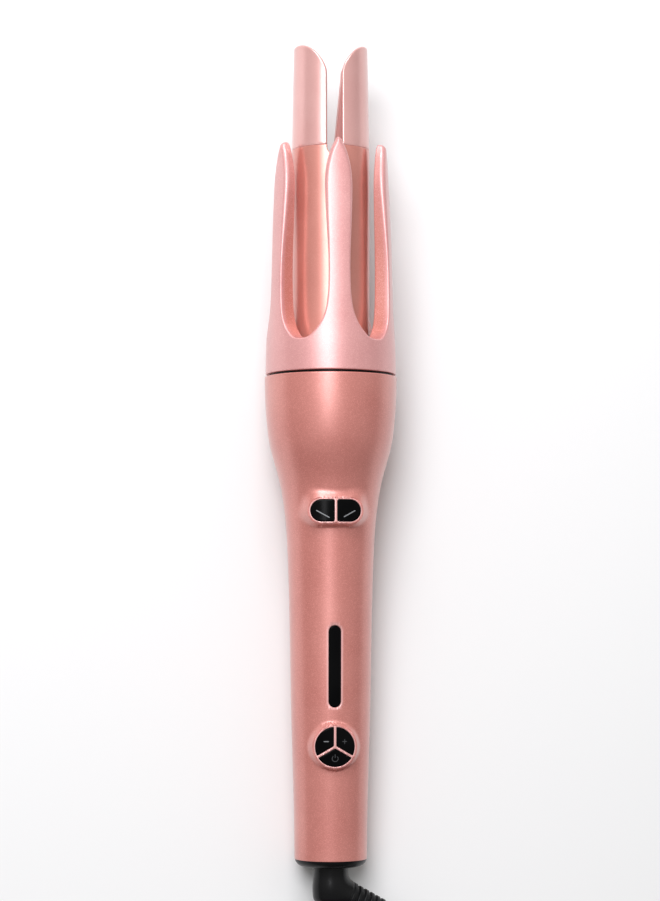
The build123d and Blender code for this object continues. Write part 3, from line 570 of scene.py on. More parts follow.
def wound(angle):
    """Radius and height of the winding at an angle, in degrees from where the cord joins the coil."""
    if angle < 1080:
        return 44.75 - 6.5 * angle / 360, LAYER[0]
    if angle < 1140:
        return 25.25, LAYER[0] + (LAYER[1] - LAYER[0]) * smoothstep(1080, 1140, angle)
    if angle < 2220:
        return 25.25 + 6.5 * (angle - 1140) / 360, LAYER[1]
    if angle < 2280:
        return 44.75, LAYER[1] + (LAYER[2] - LAYER[1]) * smoothstep(2220, 2280, angle)
    return 44.75 - 19.4 * smoothstep(2290, 3420, angle) ** 1.0 * 1.0, LAYER[2]


step = 360 / TURN_STEPS
angle = 0.0
while angle <= 3412:
    r, z = wound(angle)
    if angle > 2280:
        r = 44.75 - 19.4 * max(0.0, (angle - 2300) / 1115)
    route.append(coil_point(angle, r, float(z)))
    angle += step
for x, y, z in ((-16.8, 21.2, 22.2), (-7.0, 29.6, 23.6), (8.0, 33.6, 23.5), (23.0, 31.0, 23.5), (35.2, 24.0, 23.5),
                (42.8, 11.9, 23.5), (45.3, -2.2, 23.6), (41.6, -16.0, 24.5), (32.4, -27.0, 26.1),
                (19.4, -33.0, 27.6), (9.9, -33.0, 27.8)):
    route.append((COIL[0] + x, COIL[1] + y, z))

curve = bpy.data.curves.new("cord_line", "CURVE")
curve.dimensions = "3D"
line = curve.splines.new("NURBS")
line.points.add(len(route) - 1)
for point, (x, y, z) in zip(line.points, route):
    point.co = (x / 1000, (y + SHIFT) / 1000, z / 1000, 1.0)
line.order_u = 3
line.use_endpoint_u = True
line.resolution_u = 8
curve_object = bpy.data.objects.new("cord_line", curve)
COLLECTION.objects.link(curve_object)
bpy.context.view_layer.update()
line_mesh = bpy.data.meshes.new_from_object(curve_object.evaluated_get(bpy.context.evaluated_depsgraph_get()))
follow = np.array([tuple(v.co) for v in line_mesh.vertices], float)
bpy.data.objects.remove(curve_object)
bpy.data.meshes.remove(line_mesh)


def tube(name, path, radius, around, material, caps=True):
    """A round tube along path, in metres, with flat end caps, left to what it meets."""
    t = np.gradient(path, axis=0)
    t /= np.linalg.norm(t, axis=1)[:, None]
    normal = np.cross(t[0], (0, 0, 1.0))
    normal /= np.linalg.norm(normal)
    rows = []
    for i in range(len(path)):
        normal = normal - t[i] * (normal @ t[i])
        normal /= np.linalg.norm(normal)
        other = np.cross(t[i], normal)
        a = np.arange(around) / around * 2 * math.pi
        r = radius[i] if hasattr(radius, "__len__") else radius
        rows.append(path[i] + r * (np.cos(a)[:, None] * normal + np.sin(a)[:, None] * other))
    v = np.vstack(rows)
    f = []
    for i in range(len(path) - 1):
        for j in range(around):
            k = (j + 1) % around
            f.append((i * around + j, i * around + k, (i + 1) * around + k, (i + 1) * around + j))
    if caps:
        f.append(tuple(range(around))[::-1])
        f.append(tuple(range((len(path) - 1) * around, len(path) * around)))
    me = bpy.data.meshes.new(name)
    me.from_pydata(v.tolist(), [], f)
    me.validate()
    me.shade_smooth()
    me.set_sharp_from_angle(angle=math.radians(60))
    me.materials.append(material)
    obj = bpy.data.objects.new(name, me)
    COLLECTION.objects.link(obj)
    return obj


cord = tube("power_cord", follow, CORD_R / 1000, 20, CORD)
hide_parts("cord_tube", "cord_coil", "cord_tail")
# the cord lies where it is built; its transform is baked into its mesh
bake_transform(cord)

# ----------------------------------------------------------------------
# Handle shells
# ----------------------------------------------------------------------
BODY = [(0.0, 14.9), (25.0, 15.25), (45.0, 15.85), (61.5, 16.3), (86.0, 16.75), (104.5, 17.1), (123.0, 17.7),
        (133.0, 18.2), (142.7, 19.1), (149.0, 20.0), (155.8, 21.35), (162.4, 23.2), (168.9, 24.9), (175.5, 26.0),
        (182.0, 26.65), (188.6, 27.05), (198.0, 27.3)]
body_radius = profile(BODY)
WALL = 2.2
ROT_S, PAD_S = 142.2, 46.6
KEY_HALF, KEY_R = 5.8, 4.55        # rotation keys: half the straight length, end radius
PAD_R = 8.1
CROWN = 34.0
ROT_TOP, PAD_TOP = 20.8, 17.4
WIN_MID, WIN_HALF, WIN_R = 79.1, 14.1, 2.4


def crown(x, top):
    return np.sqrt(np.maximum(CROWN ** 2 - x * x, 1)) - CROWN + top


def seat(x, s, kind):
    """Depth of a raised seat's surface, with the distance from the edge of its keys."""
    if kind == "rot":
        away_x = np.maximum(np.abs(x) - KEY_HALF, 0)
        d = np.hypot(away_x, s - ROT_S) - KEY_R
        ns = (s - ROT_S) / np.maximum(np.hypot(away_x, s - ROT_S), 1e-6)
        top, tip_slope, side_slope, back_slope = ROT_TOP, 0.42, 1.7, 2.4
    else:
        d = np.hypot(x, s - PAD_S) - PAD_R
        ns = (s - PAD_S) / np.maximum(np.hypot(x, s - PAD_S), 1e-6)
        top, tip_slope, side_slope, back_slope = PAD_TOP, 1.3, 2.4, 2.8
    tip = smoothstep(0.15, 1.0, ns)
    back = smoothstep(0.15, 1.0, -ns)
    slope = side_slope + (tip_slope - side_slope) * tip + (back_slope - side_slope) * back
    t = d - 0.95
    drop = slope * (np.sqrt(t * t + 0.2 ** 2) + t) / 2
    groove = 0.26 * np.exp(-((d - 0.62) / 0.11) ** 2)
    return crown(x, top) - drop - groove, d


def front_depth(phi, s):
    """x and depth towards the user of the front skin, for an azimuth from the front and a station."""
    r = body_radius(s)
    x = r * np.sin(phi)
    h = np.sqrt(np.maximum(r * r - x * x, 0))
    near = np.abs(phi) < math.radians(75)
    for kind, mid, reach, k in (("rot", ROT_S, 26, 0.9), ("pad", PAD_S, 20, 0.7)):
        rise, d = seat(x, s, kind)
        part = near & (np.abs(s - mid) < reach) & (d < 14)
        h = np.where(part, smooth_max(rise, h, k), h)
    return x, h


def to_domain(x, s):
    return np.column_stack([np.degrees(np.arcsin(np.clip(x / body_radius(s), -1, 1))), s])


# outlines of the holes, anticlockwise in x and s
def stadium_half(side_sign, grow):
    """One rotation key's outline, grown by a distance."""
    inner = 0.5 - grow
    r = KEY_R + grow
    a = np.linspace(-90, 90, 33)
    pts = [(KEY_HALF + r * math.cos(math.radians(t)), r * math.sin(math.radians(t))) for t in a]
    corner = 0.85
    top = soften([(inner, -r), (KEY_HALF, -r), (KEY_HALF, r), (inner, r)], [corner, 0, 0, corner], 0.4)
    top = top[top[:, 0] < KEY_HALF - 1e-6]
    # walk: bottom edge, round end, top edge, divider side
    low = top[top[:, 1] < 0]
    high = top[top[:, 1] >= 0]
    low = low[np.argsort(np.arctan2(low[:, 0] - KEY_HALF, -low[:, 1]))]
    high = high[np.argsort(-np.arctan2(high[:, 0] - KEY_HALF, high[:, 1]))]
    loop = np.vstack([low, pts, high])
    loop = resample(loop, 0.38, closed=True)
    if side_sign < 0:
        loop = loop[::-1] * (-1, 1)
    return loop + (0, ROT_S)


def pad_sector(angle, grow):
    """One pad key's outline: a third of the disc between two dividers."""
    off, r = 0.5 - grow, PAD_R + grow
    apex = off / math.sin(math.radians(60))
    reach = math.sqrt(r * r - off * off)
    start = math.degrees(math.atan2(off, reach))
    arc = [(r * math.cos(math.radians(t)), r * math.sin(math.radians(t)))
           for t in np.linspace(-60 + start, 60 - start, 40)]
    loop = soften([(apex, 0.0)] + arc, [0.35, 0.4] + [0] * 38 + [0.4], 0.36)
    loop = resample(loop, 0.38, closed=True)
    c, s = math.cos(math.radians(angle)), math.sin(math.radians(angle))
    return np.column_stack([loop[:, 0] * c - loop[:, 1] * s, loop[:, 0] * s + loop[:, 1] * c + PAD_S])


def window_loop(grow):
    r = WIN_R + grow
    a = np.linspace(0, 180, 25)
    top = [(r * math.cos(math.radians(t)), WIN_MID + WIN_HALF + r * math.sin(math.radians(t))) for t in a]
    low = [(-r * math.cos(math.radians(t)), WIN_MID - WIN_HALF - r * math.sin(math.radians(t))) for t in a]
    return resample(np.array(top + low), 0.42, closed=True)


ROT_SIDES = {"left": -1, "right": 1}
PAD_KEYS = {"minus": 150.0, "plus": 30.0, "power": 270.0}
HOLES = [stadium_half(v, 0.0) for v in ROT_SIDES.values()] + [pad_sector(a, 0.0) for a in PAD_KEYS.values()]
HOLES.append(window_loop(0.12))
HOLE_EDGE = [0.20] * 5 + [0.42]

END = 198.0
RIM_ROUND = 0.42
PART_ROUND = 0.16
end_steps = [0.03, 0.1, 0.2, 0.32, 0.42, 0.7, 1.2]


def shell_grid(step_s=1.5, step_phi=2.5):
    s = list(np.arange(1.5, END - 1.6, step_s))
    s += [x for x in end_steps] + [END - x for x in end_steps]
    phi = list(np.arange(-87.5, 87.6, step_phi))
    edge = [0.04, 0.12, 0.24, 0.42, 0.8, 1.4]
    phi += [-90 + x for x in edge] + [90 - x for x in edge]
    return np.array([(p, t) for p in phi for t in s])


def shell(name, replaces, front):
    m = Mesh()
    holes, sizes = (HOLES, HOLE_EDGE) if front else (SCREW_HOLES, [0.18] * 3)
    hole_loops = [to_domain(h[:, 0], h[:, 1]) for h in holes]
    s_line = np.unique(np.concatenate([np.arange(0, END + 0.1, 1.5), end_steps, END - np.array(end_steps)]))
    phi_line = np.arange(-90, 90.1, 2.5)
    outer = np.vstack([
        np.column_stack([phi_line, np.zeros_like(phi_line)])[:-1],
        np.column_stack([np.full_like(s_line, 90.0), s_line])[:-1],
        np.column_stack([phi_line[::-1], np.full_like(phi_line, END)])[:-1],
        np.column_stack([np.full_like(s_line, -90.0), s_line[::-1]])[:-1]])
    free = [shell_grid()]
    if front:
        for h, e in zip(HOLES, HOLE_EDGE):
            for d in (0.06 * e, 0.25 * e, 0.55 * e, e):
                q = shifted(h, d)
                free.append(to_domain(q[:, 0], q[:, 1]))
        for mid, kind in ((ROT_S, "rot"), (PAD_S, "pad")):
            a = np.linspace(0, 2 * math.pi, 129)[:-1]
            for d in (0.30, 0.42, 0.48, 0.53, 0.58, 0.63, 0.68, 0.76, 0.86, 0.94, 1.02, 1.1, 1.2, 1.32, 1.46, 1.62, 1.8,
                      2.0, 2.25, 2.5, 2.8, 3.2, 3.7, 4.3, 5.0, 5.8):
                if kind == "rot":
                    x, t = (KEY_R + d) * np.cos(a), (KEY_R + d) * np.sin(a)
                    x = x + np.sign(x) * KEY_HALF
                    straight = np.linspace(-KEY_HALF, KEY_HALF, 21)
                    x = np.concatenate([x, straight, straight])
                    t = np.concatenate([t, np.full(21, KEY_R + d), np.full(21, -KEY_R - d)])
                else:
                    x, t = (PAD_R + d) * np.cos(a), (PAD_R + d) * np.sin(a)
                ok = np.abs(x) < 14.6
                free.append(to_domain(x[ok], t[ok] + mid))
            gx, gs = np.meshgrid(np.arange(-14, 14.1, 0.9), np.arange(mid - 15, mid + 15.1, 0.9))
            free.append(to_domain(gx.ravel(), gs.ravel()))
    else:
        for h in SCREW_HOLES:
            for d in (0.02, 0.07, 0.13, 0.18, 0.6, 1.3):
                q = shifted(h, d)
                free.append(to_domain(q[:, 0], q[:, 1]))
    free = np.vstack(free)
    free = free[(np.abs(free[:, 0]) < 89.99) & (free[:, 1] > 0.01) & (free[:, 1] < END - 0.01)]
    # drop grid points that crowd each other
    cell = {}
    order = np.argsort(-np.arange(len(free)))
    picked = []
    for i in order:
        p, t = free[i]
        key = (int(p * 10), int(t * 14))
        if key in cell:
            continue
        cell[key] = 1
        picked.append(i)
    free = free[picked]
    v, f, rims = triangles(outer, hole_loops, free, clear=0.012)
    phi, s = np.radians(v[:, 0]), v[:, 1]
    if front:
        x, h = front_depth(phi, s)
    else:
        r = body_radius(s)
        x, h = r * np.sin(phi), r * np.cos(phi)
    # rounded rim, parting edges and hole edges
    r = body_radius(s)
    shrink = edge_drop(END - s, RIM_ROUND) + edge_drop(s, 0.18) + edge_drop((math.pi / 2 - np.abs(phi)) * r, PART_ROUND)
    scale = 1 - shrink / r
    x, h = x * scale, h * scale
    plan = np.column_stack([r * np.sin(phi), s])
    for hole, e in zip(holes, sizes):
        close = (np.abs(plan[:, 0] - hole[:, 0].mean()) < 20) & (np.abs(plan[:, 1] - hole[:, 1].mean()) < 24)
        d = np.full(len(plan), 9.0)
        d[close] = away(plan[close], hole)
        h = h - edge_drop(d, e)
    sign = -1 if front else 1
    top = m.add(np.column_stack([x, sign * h, s]), f + 0)
    # inner skin
    inner_r = r - WALL
    share = smoothstep(35, 85, np.degrees(np.abs(phi)))
    xi = r * np.sin(phi) * (1 - share * WALL / r)
    hi = np.sqrt(np.maximum(inner_r ** 2 - xi ** 2, 0))
    hi[np.abs(np.abs(v[:, 0]) - 90) < 1e-6] = 0.0
    if not front:
        hi = np.maximum(hi, 0)
    low = m.add(np.column_stack([xi, sign * hi, s]), f[:, ::-1])
    for k, rim in enumerate(rims):
        a = [top + i for i in rim]
        b = [low + i for i in rim]
        m.ring_band(a, b)
    obj = build(name, m, PEARL, "body", replaces, sharp=42)
    if front:
        # painted highlight: a paler colour is painted round the key holes and on the bars between the keys, where their
        # glossy edges catch the light
        o, ex, ey, ez = place([(0, 0, 0), (1, 0, 0), (0, 1, 0), (0, 0, 1)])
        at = (np.array([tuple(p.co) for p in obj.data.vertices], float) - o) @ np.linalg.inv(np.array([ex - o, ey - o, ez - o]))
        painted_rim_highlight = np.zeros(len(at))
        for hole in holes:
            close = (np.abs(at[:, 0] - hole[:, 0].mean()) < 20) & (np.abs(at[:, 2] - hole[:, 1].mean()) < 24) & (at[:, 1] < 0)
            painted_rim_highlight[close] = np.maximum(painted_rim_highlight[close], 1 - smoothstep(0.3, 1.0, away(at[close][:, [0, 2]], hole)))
        obj.data.attributes.new("painted_light", "FLOAT", "POINT").data.foreach_set("value", (painted_rim_highlight * 0.8).astype(np.float32))
    return obj


SCREWS = [(0.0, 23.2), (18.5, 185.5), (-18.5, 185.5)]
SCREW_HOLES = [np.array([(x + 2.9 * math.cos(a), s + 2.9 * math.sin(a)) for a in np.linspace(0, 2 * math.pi, 41)[:-1]])
               for x, s in SCREWS]

shell("handle_front", ["front_shell"], True)
shell("handle_rear", ["rear_shell"], False)
# sleeves that the screws sit in; they start in the shell's inner skin
m = Mesh()
for x, s in SCREWS:
    a = np.arange(40) / 40 * 2 * math.pi
    inner = float(body_radius(s)) - WALL
    rows = []
    for rad, y in ((2.86, None), (2.86, 6.05), (1.6, 6.0), (1.6, 0.4), (4.0, 0.4), (4.0, None)):
        px = x + rad * np.cos(a)
        depth = np.sqrt(inner ** 2 - px ** 2) + 0.25 if y is None else np.full(40, y)
        rows.append(list(range(m.add(np.column_stack([px, depth, s + rad * np.sin(a)]), []), m.n)))
    for p, q in zip(rows, rows[1:]):
        m.ring_band(p, q)
build("screw_posts", m, PEARL, "body", (), sharp=35, outward=False)

# ----------------------------------------------------------------------
# Keys and display window
# ----------------------------------------------------------------------


def key(name, outline, top, foot, centre, body, node, edge=0.26, sink=0.15, material=GLOSS, depth_of=None):
    m = Mesh()
    free = []
    for d in (0.05 * edge, 0.22 * edge, 0.5 * edge, edge, edge + 0.25):
        free.append(shifted(outline, -d))
    gx, gs = np.meshgrid(np.arange(outline[:, 0].min(), outline[:, 0].max(), 0.6),
                         np.arange(outline[:, 1].min(), outline[:, 1].max(), 0.6))
    grid = np.column_stack([gx.ravel(), gs.ravel()])
    grid = grid[inside(grid, outline)]
    grid = grid[away(grid, outline) > edge + 0.4]
    free.append(grid)
    free = np.vstack(free)
    free = free[inside(free, outline)]
    v, f, rims = triangles(outline, [], free, clear=0.004)
    d = away(v, outline)
    h = (crown(v[:, 0], top) - sink if depth_of is None else depth_of(v[:, 0], v[:, 1])) - edge_drop(d, edge)
    up_ = m.add(np.column_stack([v[:, 0], -h, v[:, 1]]), f)
    down = m.add(np.column_stack([v[:, 0], np.full(len(v), -foot), v[:, 1]]), f[:, ::-1])
    m.ring_band([up_ + i for i in rims[0]], [down + i for i in rims[0]])
    if centre is not None:
        # plunger that meets the switch
        a = np.arange(24) / 24 * 2 * math.pi
        rows = []
        for rad, y in ((1.6, foot - 0.02), (1.6, 12.2), (1.3, 11.9), (0.01, 11.9)):
            rows.append(list(range(m.add(np.column_stack(
                [centre[0] + rad * np.cos(a), np.full(24, -y), centre[1] + rad * np.sin(a)]), []), m.n)))
        for p, q in zip(rows, rows[1:]):
            m.ring_band(p, q)
    return build(name, m, material, body, (node,), sharp=48)


for name, sgn in ROT_SIDES.items():
    key("rotate_" + name, stadium_half(sgn, -0.13), ROT_TOP, 17.0, (sgn * 5.6, ROT_S), name + "_key", "key_" + name)
for name, ang in PAD_KEYS.items():
    key("press_" + name, pad_sector(ang, -0.12), PAD_TOP, 14.4,
        (4.6 * math.cos(math.radians(ang)), PAD_S + 4.6 * math.sin(math.radians(ang))), name + "_key", "key_" + name)


def window_depth(x, s):
    r = body_radius(s)
    return np.sqrt(r * r - x * x) - 0.42


key("display_lens", window_loop(-0.02), 0, 14.4, None, "body", "display_window", edge=0.18, depth_of=window_depth)


def mark(name, strokes, top, body, width=0.5, ink=None):
    """Printed marks: thin strips that lie on a key, each from point to point, as (x, s)."""
    m = Mesh()
    for stroke in strokes:
        q = resample(np.asarray(stroke, float), 0.22)
        t = np.gradient(q, axis=0)
        t /= np.linalg.norm(t, axis=1)[:, None]
        n = np.column_stack([-t[:, 1], t[:, 0]])
        taper = np.minimum(1, np.minimum(np.arange(len(q)), np.arange(len(q))[::-1]) * 0.5 + 0.35)[:, None]
        rows = []
        for off, lift in ((-0.5, -0.03), (-0.5, 0.012), (0.5, 0.012), (0.5, -0.03)):
            p = q + n * off * width * taper
            y = -(crown(p[:, 0], top) - 0.15 + lift)
            rows.append(list(range(m.add(np.column_stack([p[:, 0], y, p[:, 1]]), []), m.n)))
        for a, b in zip(rows, rows[1:] + rows[:1]):
            m.ring_band(a, b, closed=False)
        m.f.append(tuple(r[0] for r in rows))
        m.f.append(tuple(r[-1] for r in rows)[::-1])
    return build(name, m, ink or MARK, body, (), sharp=40)


mark("mark_left", [[(-8.0, ROT_S + 0.1), (-2.6, ROT_S - 2.9)]], ROT_TOP, "left_key", 0.42)
mark("mark_right", [[(3.2, ROT_S - 2.6), (8.0, ROT_S + 0.1)]], ROT_TOP, "right_key", 0.42)
mark("mark_minus", [[(-4.7, PAD_S + 2.2), (-2.5, PAD_S + 2.2)]], PAD_TOP, "minus_key", 0.36)
mark("mark_plus", [[(2.9, PAD_S + 2.2), (4.9, PAD_S + 2.2)], [(3.9, PAD_S + 1.2), (3.9, PAD_S + 3.2)]], PAD_TOP, "plus_key", 0.3, MARK_DIM)
arc = [(0.9 * math.cos(math.radians(a)) * 1.35, PAD_S - 4.7 + 1.2 * math.sin(math.radians(a))) for a in range(125, 416, 15)]
mark("mark_power", [arc, [(0.0, PAD_S - 4.5), (0.0, PAD_S - 2.9)]], PAD_TOP, "power_key", 0.28, MARK_DIM)

# ----------------------------------------------------------------------
# Claw ring
# ----------------------------------------------------------------------
CLAW_OUT = [(199.0, 26.95), (206.0, 26.85), (213.0, 26.6), (223.0, 26.0), (243.0, 25.4), (262.0, 24.75), (272.0, 24.3),
            (282.0, 23.8), (288.0, 23.45), (294.4, 23.2)]
RING_REST = math.radians(2.4)
CLAW_IN = 19.2
CLAWS = 5
GAP = [(0.0, 212.0), (7.2, 212.5), (12.6, 214.6), (18.8, 218.4), (22.6, 222.7), (25.06, 230.0), (25.7, 238.0),
       (25.2, 248.0), (23.5, 259.0), (22.05, 269.0), (21.5, 276.5), (22.8, 282.2), (25.3, 286.3), (27.7, 289.2),
       (31.0, 291.8), (33.8, 293.8), (39.5, 297.2)]
claw_out = profile(CLAW_OUT)
HALF = 180.0 / CLAWS
ARC = 24.5 * math.pi / 180     # millimetres per degree, for even spacing
gap = spline([(-w, s) for w, s in reversed(GAP[1:])] + GAP)
gap = gap[gap[:, 0] >= -1e-9]
flat = np.column_stack([(HALF - gap[:, 0]) * ARC, gap[:, 1]])
flat = flat[flat[:, 0] > 0.0]
# one claw's edge as (millimetres round the ring from the claw's middle, station), from the gap's floor to the tip;
# the tip is a round nose
NOSE = 1.45
cut = int(np.argmax(flat[:, 0] < NOSE * 1.02))
shoulder = flat[cut]
nose = [(shoulder[0] * math.cos(t), shoulder[1] + shoulder[0] * 0.8 * math.sin(t)) for t in np.linspace(0, math.pi / 2, 9)[1:]]
flat = np.vstack([flat[:cut + 1], nose])
flat[-1, 0] = 0.0
flat = resample(flat, 0.42)
for _ in range(3):
    flat[1:-1] = 0.25 * flat[:-2] + 0.5 * flat[1:-1] + 0.25 * flat[2:]
flat[0] = (HALF * ARC, 212.0)
claw_loop = np.vstack([flat, (flat[:-1] * (-1, 1))[::-1]])
base_x = np.linspace(-HALF * ARC, HALF * ARC, 25)
side_s = np.array([199.0, 199.1, 199.3, 199.7, 200.5, 202, 204, 206, 208, 209.5, 210.6, 211.1, 211.4, 211.6, 211.75, 211.87, 211.95])
quarter = np.vstack([
    np.column_stack([base_x, np.full_like(base_x, 199.0)]),
    np.column_stack([np.full(len(side_s) - 1, HALF * ARC), side_s[1:]]),
    claw_loop,
    np.column_stack([np.full(len(side_s) - 1, -HALF * ARC), side_s[1:][::-1]])])
free = []
# the loop runs with the claw on its left, so the claw's inside is at a negative shift
for d in (0.02, 0.07, 0.15, 0.26, 0.4, 0.56, 0.75, 0.98, 1.25, 1.6, 2.0, 2.35):
    free.append(shifted(claw_loop, -d, closed=False)[1:-1])
gx, gs = np.meshgrid(base_x[1:-1], np.concatenate([[199.04, 199.12, 199.25, 199.4, 199.7], np.arange(200.5, 296, 1.15)]))
grid = np.column_stack([gx.ravel(), gs.ravel()])
grid = grid[away(grid, claw_loop, closed=False) > 2.6]
free.append(grid)
free = np.vstack(free)
free = free[(np.abs(free[:, 0]) < HALF * ARC - 0.15) & (free[:, 1] > 199.02)]
v, f, rims = triangles(quarter, [], free, clear=0.012)
d_edge = away(v, claw_loop, closed=False)
s = v[:, 1]
theta = np.radians(v[:, 0] / ARC)
tip_part = smoothstep(283.0, 295.2, s)
round_at = 0.75 + 1.35 * smoothstep(238.0, 284.0, s)       # the edges grow rounder towards the tips
r_out = claw_out(np.minimum(s, 294.4)) - edge_drop(d_edge, round_at) - edge_drop(s - 199.0, 0.4)
r_out = r_out - tip_part * edge_drop(np.maximum(296.2 - s, 0.0), 5.5) * 0.42
# below the gap's floor the inner skin is drawn down to the ring's floor
inner_s = np.where(s < 212.0, 210.62 + (s - 199.0) / 13.0 * 1.38, s)
r_in = CLAW_IN + edge_drop(d_edge, 0.5) * smoothstep(213.0, 217.0, s)
r_in = r_in + tip_part * edge_drop(np.maximum(296.2 - s, 0.0), 5.5) * 0.48
m = Mesh()
for k in range(CLAWS):
    a = theta + k * 2 * math.pi / CLAWS - math.pi / 2 + RING_REST
    up_ = m.add(np.column_stack([r_out * np.cos(a), r_out * np.sin(a), s]), f)
    dn = m.add(np.column_stack([r_in * np.cos(a), r_in * np.sin(a), inner_s]), f[:, ::-1])
    rim = rims[0]
    start = len(base_x) + len(side_s) - 1
    edge_rim = rim[start:start + len(claw_loop)]
    # radial wall, in strips so that its light can change across it
    aw = a[edge_rim]
    rows = [[up_ + i for i in edge_rim]]
    for part in (0.12, 0.35, 0.65, 0.9):
        rr = r_out[edge_rim] * (1 - part) + r_in[edge_rim] * part
        ss = s[edge_rim] * (1 - part) + inner_s[edge_rim] * part
        rows.append(list(range(m.add(np.column_stack([rr * np.cos(aw), rr * np.sin(aw), ss]), []), m.n)))
    rows.append([dn + i for i in edge_rim])
    for p, q in zip(rows, rows[1:]):
        m.ring_band(p, q, closed=False)
    base = rim[:len(base_x)]
    # floor and web: from the skin's lower rim round to the inner skin's lower rim
    rows = [[up_ + i for i in base]]
    ang = a[base]
    for rad, st in ((25.3, 199.0), (25.2, 199.1), (25.2, 208.2), (17.3, 208.2), (17.2, 208.3), (17.2, 210.5), (17.3, 210.6)):
        rows.append(list(range(m.add(np.column_stack([rad * np.cos(ang), rad * np.sin(ang), np.full(len(ang), st)]), []), m.n)))
    rows.append([dn + i for i in base])
    for p, q in zip(rows, rows[1:]):
        m.ring_band(p, q, closed=False)
claw_dial = build("claw_dial", m, RING, "dial", ("claw_ring",), sharp=50, weld=2e-6)
# painted shade: the claws' radial walls get a deeper coral colour for their shade and the barrel's reflected colour,
# fading out towards the tips
foot, head = place([(0, 0, 0), (0, 0, 100)])
axis_way = (head - foot) / np.linalg.norm(head - foot)
rel = np.array([tuple(v.co) for v in claw_dial.data.vertices], float) - foot
along = rel @ axis_way
off_axis = np.linalg.norm(rel - along[:, None] * axis_way, axis=1) * 1000
along = along * 1000
painted_wall_shade = smoothstep(0.9, 2.6, claw_out(np.clip(along, 199.0, 294.4)) - off_axis) * smoothstep(211.0, 216.0, along)
painted_wall_shade = painted_wall_shade * (1 - 0.55 * smoothstep(245.0, 284.0, along)) * (1 - smoothstep(288.0, 294.0, along))
claw_dial.data.attributes.new("painted_light", "FLOAT", "POINT").data.foreach_set("value", painted_wall_shade.astype(np.float32))

# ----------------------------------------------------------------------
# Heated barrel and forked tip
# ----------------------------------------------------------------------
SLOT = 3.2
TIP_R = 15.2


def tip_radius(s):
    return 16.0 + (TIP_R - 16.0) * (np.asarray(s, float) - 292.0) / (337.0 - 292.0)


m = Mesh()
deg = 16.0 * math.pi / 180
slot_half = math.degrees(math.asin(SLOT / 16.0)) * deg
notch = [(SLOT * math.cos(t), 291.2 - SLOT * math.sin(t)) for t in np.linspace(0, math.pi, 25)]
notch = np.array([(math.degrees(math.asin(x / 16.0)) * deg, t) for x, t in notch])
round_top = []
q = np.arange(-90, 90.1, 3.0) * deg
left = np.array([t for t in q if t < -slot_half - 0.3])
right_ = np.array([t for t in q if t > slot_half + 0.3])
top_line = np.vstack([np.column_stack([right_[::-1], np.full(len(right_), 292.0)]), [(slot_half, 292.0)], notch,
                      [(-slot_half, 292.0)], np.column_stack([left[::-1], np.full(len(left), 292.0)])])
side_line = np.concatenate([np.arange(211.6, 290.6, 1.6), [291.0, 291.4, 291.7, 291.85, 291.95]])
low_line = np.column_stack([q, np.full(len(q), 211.6)])
half = np.vstack([low_line[:-1], np.column_stack([np.full(len(side_line), 90 * deg), side_line]), top_line[:-1],
                  np.column_stack([np.full(len(side_line), -90 * deg), side_line[::-1]])[:0]])
half = np.vstack([low_line[:-1], np.column_stack([np.full(len(side_line), 90 * deg), side_line]), top_line,
                  np.column_stack([np.full(len(side_line) - 1, -90 * deg), side_line[1:][::-1]])])
free = []
mouth = np.vstack([[(slot_half, 292.0)], notch, [(-slot_half, 292.0)]])
for d in (0.03, 0.1, 0.2, 0.32, 0.5, 0.9):
    free.append(shifted(mouth, -d, closed=False))
    free.append(shifted(mouth, d, closed=False))
gx, gs = np.meshgrid(np.arange(-87, 87.1, 3.0) * deg, np.concatenate([np.arange(212.4, 290.6, 1.6), [291.0, 291.4, 291.7, 291.85, 291.95]]))
free.append(np.column_stack([gx.ravel(), gs.ravel()]))
free = np.vstack(free)
free = free[(np.abs(free[:, 0]) < 90 * deg - 0.1) & (free[:, 1] > 211.7) & (free[:, 1] < 291.98)]
v, f, rims = triangles(half, [], free, clear=0.02)
d_notch = away(v, mouth, closed=False)
s, a0 = v[:, 1], np.radians(v[:, 0] / deg)
r_out = 16.0 - edge_drop(d_notch, 0.3) - edge_drop(292.0 - s, 0.22)
r_in = np.full(len(v), 14.8)
for turn in (0, 1):
    a = a0 - math.pi / 2 + turn * math.pi
    up_ = m.add(np.column_stack([r_out * np.cos(a), r_out * np.sin(a), s]), f)
    dn = m.add(np.column_stack([r_in * np.cos(a), r_in * np.sin(a), s]), f[:, ::-1])
    rim = rims[0]
    n_low, n_side, n_top = len(low_line) - 1, len(side_line), len(top_line)
    m.ring_band([up_ + i for i in rim[n_low + n_side - 1:n_low + n_side + n_top + 1]],
                [dn + i for i in rim[n_low + n_side - 1:n_low + n_side + n_top + 1]], closed=False)
    low = rim[:n_low + 1]
    m.ring_band([up_ + i for i in low], [dn + i for i in low], closed=False)
build("heated_barrel", m, BARREL, "body", ("barrel_tube",), sharp=50, weld=2e-6)

# fork: two prongs, each on angles from the side, front positive
PRONG = spline([(2.6, 318.0), (3.25, 322.8), (4.4, 326.0), (5.8, 328.3), (8.4, 331.4), (11.0, 333.4), (13.0, 334.4), (16.5, 334.8)])
prong_top = lambda x: np.interp(x, PRONG[:, 0], PRONG[:, 1])


def rear_gap(s):
    return SLOT + 2.6 * np.clip((s - 300) / 26, 0, 1)


def front_edge(s, r):
    return np.degrees(np.arccos(SLOT / r))


